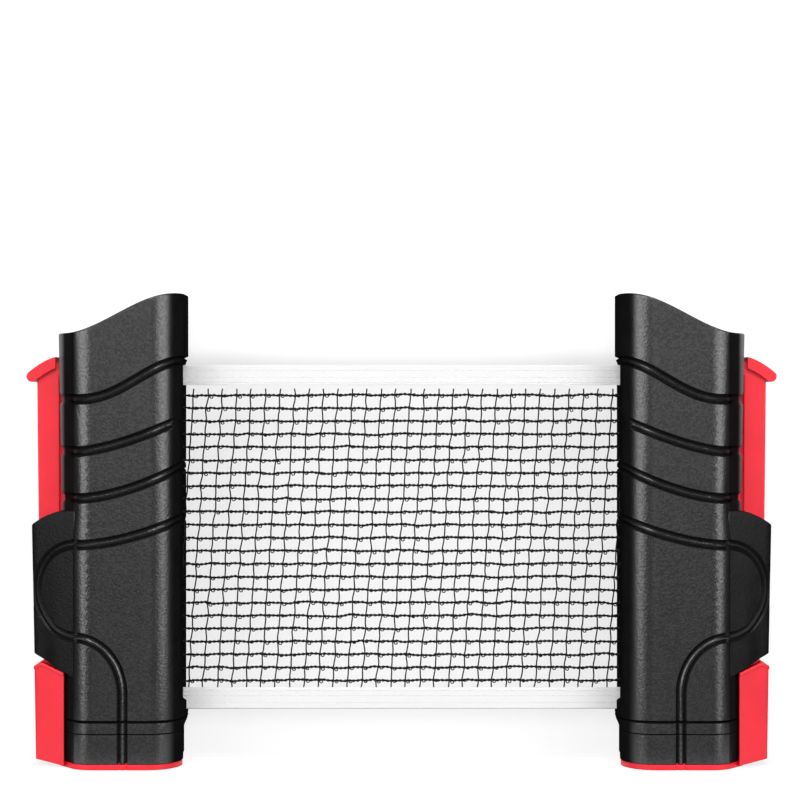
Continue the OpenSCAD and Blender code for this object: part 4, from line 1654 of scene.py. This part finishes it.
def tape_band(name, x0, x1, z0, z1, fold_up, step):
    """A tape folded over the net's edge: two flat sides, a round fold, and a hem along the open side."""
    half, size = TAPE_HALF, z1 - z0
    inner = half - TAPE_T

    def fold(radius, angles):
        return [(radius * math.cos(a), size - half + radius * math.sin(a)) for a in angles]

    flank = [(half, size * 0.5), (half, 1.5), (half + 0.02, 1.0), (half - 0.02, 0.25), (half - 0.12, 0.0),
             (inner, 0.0), (inner, size * 0.5)]
    outline = fold(half, [math.pi * k / 8 for k in range(9)])
    outline += [(-y, z) for y, z in flank]
    outline += fold(inner, [math.pi * k / 4 for k in (4, 3, 2, 1, 0)])
    outline += flank[::-1]
    count = max(2, int(round((x1 - x0) / step)))
    points = []
    for i in range(count + 1):
        x = x0 + (x1 - x0) * i / count
        for y, z in outline:
            points.append((x * MM, y * MM, (z0 + z if fold_up else z1 - z) * MM))
    obj = mesh_object(name, points, ring_faces(count + 1, len(outline)))

    def close(bm):
        bmesh.ops.holes_fill(bm, edges=[e for e in bm.edges if e.is_boundary], sides=0)
        bmesh.ops.triangulate(bm, faces=[f for f in bm.faces if len(f.verts) > 4])
        bmesh.ops.recalc_face_normals(bm, faces=bm.faces)

    return edit(obj, close)


def stitch_tree(name, rows, x0, x1, material, seed):
    """Stitches along a tape: rows holds the (y, z) of each seam, in metres."""
    pitch = 3.1 * MM
    tree = Tree(name, [("Stitch Pitch", "Float", pitch), ("Stitch Length", "Float", 2.1 * MM),
                       ("Thread Radius", "Float", 0.16 * MM), ("Material", "Material", material)])
    found = []
    for y, z in rows:
        start = tree.vector(x0 + 1.5 * MM, y, z)
        offset = tree.vector(tree.input("Stitch Pitch"), 0.0, 0.0)
        found.append(tree.made("MeshLine", {"Count": int((x1 - x0) / pitch), "Start Location": start,
                                            "Offset": offset}))
    seams = tree.made("JoinGeometry", {"Geometry": found})
    stitch = tree.made("MeshUVSphere", {"Segments": 6, "Rings": 5, "Radius": tree.input("Thread Radius")})
    stretch = tree.input("Stitch Length").math("DIVIDE", tree.input("Thread Radius") * 2.0)
    return tree.finish(tree.copies(seams, stitch, Rotation=tree.turn((0, -0.1, 0), (0, 0.1, 0), seed),
                                   Scale=tree.vector(stretch, 1.0, 1.3)))


def screw_tree(name, model, material):
    """Copies of a screw at the points of the mesh that the tree runs on."""
    tree = Tree(name, [("Screw", "Object", model), ("Seed", "Int", 3), ("Material", "Material", material)])
    shape = tree.add("GeometryNodeObjectInfo", None, {"Object": tree.input("Screw")}).out("Geometry")
    turn = tree.turn((0, 0, 0), (0, 1.5, 0), tree.input("Seed"))
    return tree.finish(tree.copies(tree.input("Geometry"), shape, Rotation=turn))


# ---- operators ----


def build_pair(form, name, slot, body, node=None):
    """Places a piece on both sides, where it stands for a CAD node."""
    for word, side in SIDES.items():
        nodes = [f"{word}_{node}"] if node else []
        finished(twin(form), side, f"{word}_{name}", slot, f"{word}_{body}", *nodes)
    remove(form)


class NETSET_OT_housings(bpy.types.Operator):
    """Make the black shells of both posts, with their wavy grooves and guide brackets"""

    bl_idname = "netset.housings"
    bl_label = "Housings"

    def execute(self, context):
        front, rear = make_shells()
        build_pair(front, "front_housing", "black_plastic", "post", "front_shell")
        build_pair(rear, "rear_housing", "black_plastic", "post", "rear_shell")
        return {"FINISHED"}


class NETSET_OT_bases(bpy.types.Operator):
    """Make the base caps and the rubber pads of the jaws"""

    bl_idname = "netset.bases"
    bl_label = "Base caps and pads"

    def execute(self, context):
        build_pair(make_base_cap(), "cap", "black_plastic", "post", "base_cap")
        for name, body in (("upper_jaw_pad", "post"), ("lower_jaw_pad", "jaw")):
            pad = pad_block(*box_mm("right_" + name))
            build_pair(pad, name.replace("_pad", "_rubber"), "pad_rubber", body, name)
        return {"FINISHED"}


class NETSET_OT_jaws(bpy.types.Operator):
    """Make the red jaw sliders"""

    bl_idname = "netset.jaws"
    bl_label = "Jaw sliders"

    def execute(self, context):
        build_pair(make_jaw(), "slider", "red_plastic", "jaw", "jaw_slider")
        return {"FINISHED"}


class NETSET_OT_springs(bpy.types.Operator):
    """Wind the clamp springs and the return springs"""

    bl_idname = "netset.springs"
    bl_label = "Springs"

    def execute(self, context):
        build_pair(make_clamp_spring(), "clamp_coil", "spring_steel", "post", "clamp_spring")
        build_pair(make_return_spring(), "return_coil", "spring_steel", "post", "return_spring")
        low, high = SPRING_LOW[2] * MM, SPRING_HIGH[2] * MM
        for word in SIDES:
            travel = joint_travel(f"{word}_jaw_slide")
            keep = (high - low - travel) / (high - low)
            coil = bpy.data.objects[f"{word}_clamp_coil"]
            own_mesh(coil)
        return {"FINISHED"}


class NETSET_OT_reels(bpy.types.Operator):
    """Wind the net on its spools"""

    bl_idname = "netset.reels"
    bl_label = "Reels"

    def execute(self, context):
        build_pair(make_roll_netting(), "wound_netting", "net_cord", "spool", "net_roll")
        build_pair(make_roll_tapes(), "wound_tapes", "net_tape", "spool")
        return {"FINISHED"}


class NETSET_OT_screws(bpy.types.Operator):
    """Put the screws in the rear shells"""

    bl_idname = "netset.screws"
    bl_label = "Screws"

    def execute(self, context):
        places = screw_places()
        model = screw_model()
        for vert in model.data.vertices:
            vert.co *= MM
        for word, side in SIDES.items():
            points = place(side, [(u, SCREW_SEAT_Y, z) for u, z in places])
            tree = screw_tree(f"{word}_screws", model, finish_named("screw_steel"))
            screws = tree.run(f"{word}_case_screws", mesh_object("points", points, []))
            dressed(shade(screws), "screw_steel", f"{word}_post", f"{word}_shell_screws")
        remove(model)
        return {"FINISHED"}


class NETSET_OT_net(bpy.types.Operator):
    """Stretch the netting and its tapes between the posts"""

    bl_idname = "netset.net"
    bl_label = "Net"

    def execute(self, context):
        end = NET_HALF * MM
        low, high, _, _ = net_span()
        tree = netting_tree("netting", -end, end, 0.55 * MM, 8, finish_named("net_cord"), 5)
        mesh = dressed(tree.run("netting"), "net_cord", "net", "net_mesh")
        cords_area = cord_area(2 * end, high - low)
        top = tape_band("top_tape", -NET_HALF, NET_HALF, TOP_TAPE_LOW[2], TOP_TAPE_HIGH[2] - TAPE_EDGE,
                        True, 4.0)
        bottom = tape_band("bottom_tape", -NET_HALF, NET_HALF, LOW_TAPE_LOW[2], LOW_TAPE_HIGH[2],
                           False, 4.0)
        # each tape with its open edge, the way from there to its fold, and its height
        rows = {"top": (top, TOP_TAPE_LOW[2], 1, TOP_TAPE_HIGH[2] - TOP_TAPE_LOW[2]),
                "bottom": (bottom, LOW_TAPE_HIGH[2], -1, LOW_TAPE_HIGH[2] - LOW_TAPE_LOW[2])}
        pieces = [mesh]
        for word, (band, edge, up, tall) in rows.items():
            dressed(shade(band), "net_tape", "net", f"net_{word}_tape")
            seams = [(y * MM, (edge + up * z) * MM) for y in (-0.57, 0.57) for z in (1.4, 3.6, 6.7)]
            tree = stitch_tree(f"{word}_stitches", seams, -end, end, finish_named("net_tape"), 11)
            stitches = dressed(tree.run(f"{word}_stitches"), "net_tape", "net")
            pieces += [band, stitches]
            wide = 2 * tall
            wide * MM
        high - low
        travel = joint_travel("net_wind_in")
        face = FACE_X * MM
        keep = (2 * face - travel) / (2 * face)
        for piece in pieces:
            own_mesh(piece)
        return {"FINISHED"}


class NETSET_OT_paid_out(bpy.types.Operator):
    """Gather the net that the reels can still pay out in the mouth of the right post"""

    bl_idname = "netset.paid_out"
    bl_label = "Paid out net"

    def execute(self, context):
        far = settings().net.extension
        tree = netting_tree("paid_out_netting", 0.0, far, 2.4 * MM, 3, finish_named("net_cord"), 9,
                            knotted=False)
        gathered(tree.run("paid_out_netting"), "net_cord", far)
        for word, low, high in (("top", TOP_TAPE_LOW[2], TOP_TAPE_HIGH[2] - TAPE_EDGE),
                                ("bottom", LOW_TAPE_LOW[2], LOW_TAPE_HIGH[2])):
            band = tape_band(f"paid_out_{word}_tape", 0.0, far / MM, low, high, word == "top", 12.0)
            gathered(shade(band), "net_tape", far)
        return {"FINISHED"}


def gathered(obj, slot, far):
    """Presses a piece of the full extension into the mouth of the right post, and gives it its finish."""
    start, wide = (FACE_X + GATHER_U) * MM, GATHER_WIDE * MM
    points = points_of(obj.data)
    share = np.clip(points[:, 0] / far, 0, 1)
    points[:, 0] = start + wide * (0.5 - np.sin(np.arcsin(1 - 2 * share) / 3))
    points[:, 1] *= 0.98
    obj.data.vertices.foreach_set("co", points.ravel())
    obj.data.update()
    obj.data.materials.clear()
    obj.data.materials.append(finish_named(slot))
    start + wide
    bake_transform(obj)


def cord_area(wide, tall):
    """Flat area of the netting's cords, in square metres."""
    sizes = settings().net
    columns = wide / sizes.column_pitch
    level_cords = sizes.rows * wide * 1.5 * MM
    upright_cords = columns * tall * 2 * sizes.upright_radius
    loop = 2 * KNOT_LOOP_RADIUS * (2 * KNOT_STRAND_RADIUS)
    knots = columns * sizes.rows * math.pi * (loop + KNOT_RADIUS ** 2) * MM ** 2
    return level_cords + upright_cords + knots


class NETSET_OT_inner(bpy.types.Operator):
    """Give the spools, axles, bushes, anchors and guide pins their finishes"""

    bl_idname = "netset.inner"
    bl_label = "Inner pieces"

    def execute(self, context):
        slots = {"spool": "spool_plastic", "spool_axle": "steel_pin", "upper_bush": "bush_plastic",
                 "lower_bush": "bush_plastic", "spring_anchor": "steel_pin", "spring_guide_pin": "steel_pin"}
        for word in SIDES:
            for name, slot in slots.items():
                node = frame["nodes"][f"{word}_{name}"]
                for holder in node.material_slots:
                    holder.material = finish_named(slot)
        return {"FINISHED"}


def joint_travel(name):
    """How far a slide moves from rest, in metres."""
    joint = next(j for j in frame["joints"] if j["name"] == name)
    return max(abs(limit) for limit in joint["range_m"])


# ---- stage ----


def stage_material(name, see_through_behind):
    """Plain white card: white to the camera and in reflections, with the shadows that fall on it and a
    painted shadow of the net.
    """
    finish = Finish(name)
    rays = finish.add("ShaderNodeLightPath")
    x, y, z = finish.split(finish.place())
    mirrored = rays.out("Is Glossy Ray") * y.between(-0.05, -0.04)
    seen = rays.out("Is Camera Ray").math("MAXIMUM", mirrored)
    seen = seen.math("MAXIMUM", rays.out("Is Transmission Ray"))
    # painted shadow of the net: the card is a shade darker behind the net, and darker still along its top
    behind_net = (1.0 - x.math("ABSOLUTE").past(NET_HALF, NET_HALF + 5)) * z.past(NET_Z - 15, NET_Z)
    over = 1.0 - z.past(NET_TOP, NET_TOP + 14)
    along_top = z.past(NET_TOP - 5, NET_TOP - 2)
    painted_net_shadow = 0.1 * behind_net * (1.0 - along_top + over * over * 2.3 * along_top)
    diffuse = finish.add("ShaderNodeBsdfDiffuse", None, {"Color": (0.3, 0.3, 0.3, 1)})
    glow = finish.add("ShaderNodeEmission", None, {"Color": (1, 1, 1, 1), "Strength": 0.78 - painted_net_shadow})
    both = finish.add("ShaderNodeAddShader", None, (diffuse.out(), glow.out()))
    look = finish.mixed(seen, diffuse, both)
    if see_through_behind:
        behind = finish.add("ShaderNodeNewGeometry").out("Backfacing")
        look = finish.mixed(behind, look, finish.add("ShaderNodeBsdfTransparent"))
    return finish.ended(look)


def card(name, corners, material):
    obj = mesh_object(name, corners, [(0, 1, 2, 3)])
    obj.data.materials.append(material)
    return obj


def soft_light(name, place_, aim, size, power):
    """A soft box at place_, looking at aim."""
    lamp = bpy.data.lights.new(name, "AREA")
    lamp.shape = "RECTANGLE"
    lamp.size, lamp.size_y = size
    lamp.energy = power
    obj = bpy.data.objects.new(name, lamp)
    bpy.context.scene.collection.objects.link(obj)
    obj.location = place_
    obj.rotation_euler = (Vector(aim) - Vector(place_)).to_track_quat("-Z", "Z").to_euler()
    return obj


def set_world(strength):
    """Soft surround on the set. The camera, and mirrors that look straight back, see it plain white."""
    world = bpy.data.worlds.new("studio")
    world.use_nodes = True
    tree = Nodes(world.node_tree)
    rays = tree.add("ShaderNodeLightPath")
    _, y, _ = tree.split(tree.add("ShaderNodeTexCoord").out("Generated"))
    mirrored = rays.out("Is Glossy Ray") * tree.add("ShaderNodeMapRange", None, (y, 0.5, 0.8)).out()
    seen = rays.out("Is Camera Ray").math("MAXIMUM", mirrored)
    seen = seen.math("MAXIMUM", rays.out("Is Transmission Ray"))
    dim = tree.add("ShaderNodeBackground", None, ((0.95, 0.97, 1.0, 1), strength))
    white = tree.add("ShaderNodeBackground", None, ((1, 1, 1, 1), 1.0))
    tree.add("ShaderNodeOutputWorld", None, (tree.mixed(seen, dim, white).out(),))
    bpy.context.scene.world = world


class NETSET_OT_studio(bpy.types.Operator):
    """Set the floor, the backdrop, the lights and the camera"""

    bl_idname = "netset.studio"
    bl_label = "Studio"

    def execute(self, context):
        studio = settings().studio
        scene = context.scene
        scene.view_settings.view_transform = "Standard"
        back = 0.026
        wide, near, deep, tall = 0.22, -0.25, 0.5, 0.6
        card("floor", [(-wide, near, 0), (wide, near, 0), (wide, deep, 0), (-wide, deep, 0)],
             stage_material("floor_card", False))
        corners = [(-wide, back, 0), (wide, back, 0), (wide, back, tall), (-wide, back, tall)]
        backdrop = card("backdrop", corners, stage_material("back_card", True))
        backdrop.visible_shadow = False
        set_world(studio.world_level)
        middle = (0, 0, 0.11)
        far = 1.6
        a = studio.strip_azimuth
        for name, side in (("left_strip", -1), ("right_strip", 1)):
            at = (side * far * math.sin(a), -far * math.cos(a), 0.5)
            soft_light(name, at, middle, (1.3, 1.15), studio.strip_power)
        soft_light("top_box", (0, -1.3, 1.5), middle, (0.9, 0.9), studio.fill_power)
        soft_light("front_box", (0, -2.6, 0.5), middle, (1.2, 1.4), studio.front_power)
        soft_light("rear_box", (0, 1.3, 1.5), middle, (0.9, 0.9), 0.5 * studio.fill_power)
        camera = bpy.data.cameras.new("camera")
        camera.sensor_width = SENSOR_MM
        picture_mm = PICTURE_PIXELS * CAMERA_MM_PER_PIXEL
        camera.lens = SENSOR_MM / picture_mm * studio.camera_distance / MM
        camera.clip_end = 50
        view = bpy.data.objects.new("camera", camera)
        scene.collection.objects.link(view)
        view.location = (CAMERA_X * MM, -studio.camera_distance, CAMERA_Z * MM)
        view.rotation_euler = (math.pi / 2, 0, 0)
        scene.camera = view
        return {"FINISHED"}


STEPS = (NETSET_OT_housings, NETSET_OT_bases, NETSET_OT_jaws, NETSET_OT_springs, NETSET_OT_reels,
         NETSET_OT_screws, NETSET_OT_net, NETSET_OT_paid_out, NETSET_OT_inner, NETSET_OT_studio)


class NETSET_PT_panel(bpy.types.Panel):
    """The net set's steps and settings"""

    bl_label = "Net Set"
    bl_idname = "NETSET_PT_panel"
    bl_space_type = "VIEW_3D"
    bl_region_type = "UI"
    bl_category = "Net Set"

    def draw(self, context):
        for step in STEPS:
            self.layout.operator(step.bl_idname)
        chosen = settings()
        for group in (chosen.housing, chosen.jaw, chosen.net, chosen.finishes, chosen.studio):
            box = self.layout.box()
            for key in group.__annotations__:
                box.prop(group, key)


CLASSES = (HousingSizes, JawSizes, NetSizes, Finishes, StudioSettings, NetSetSettings, *STEPS,
           NETSET_PT_panel)


def register():
    for cls in CLASSES:
        bpy.utils.register_class(cls)
    bpy.types.Scene.net_set = PointerProperty(type=NetSetSettings)


def unregister():
    del bpy.types.Scene.net_set
    for cls in reversed(CLASSES):
        bpy.utils.unregister_class(cls)


def main():
    register()
    for step in STEPS:
        group, name = step.bl_idname.split(".")
        getattr(getattr(bpy.ops, group), name)()


if __name__ == "__main__":
    main()
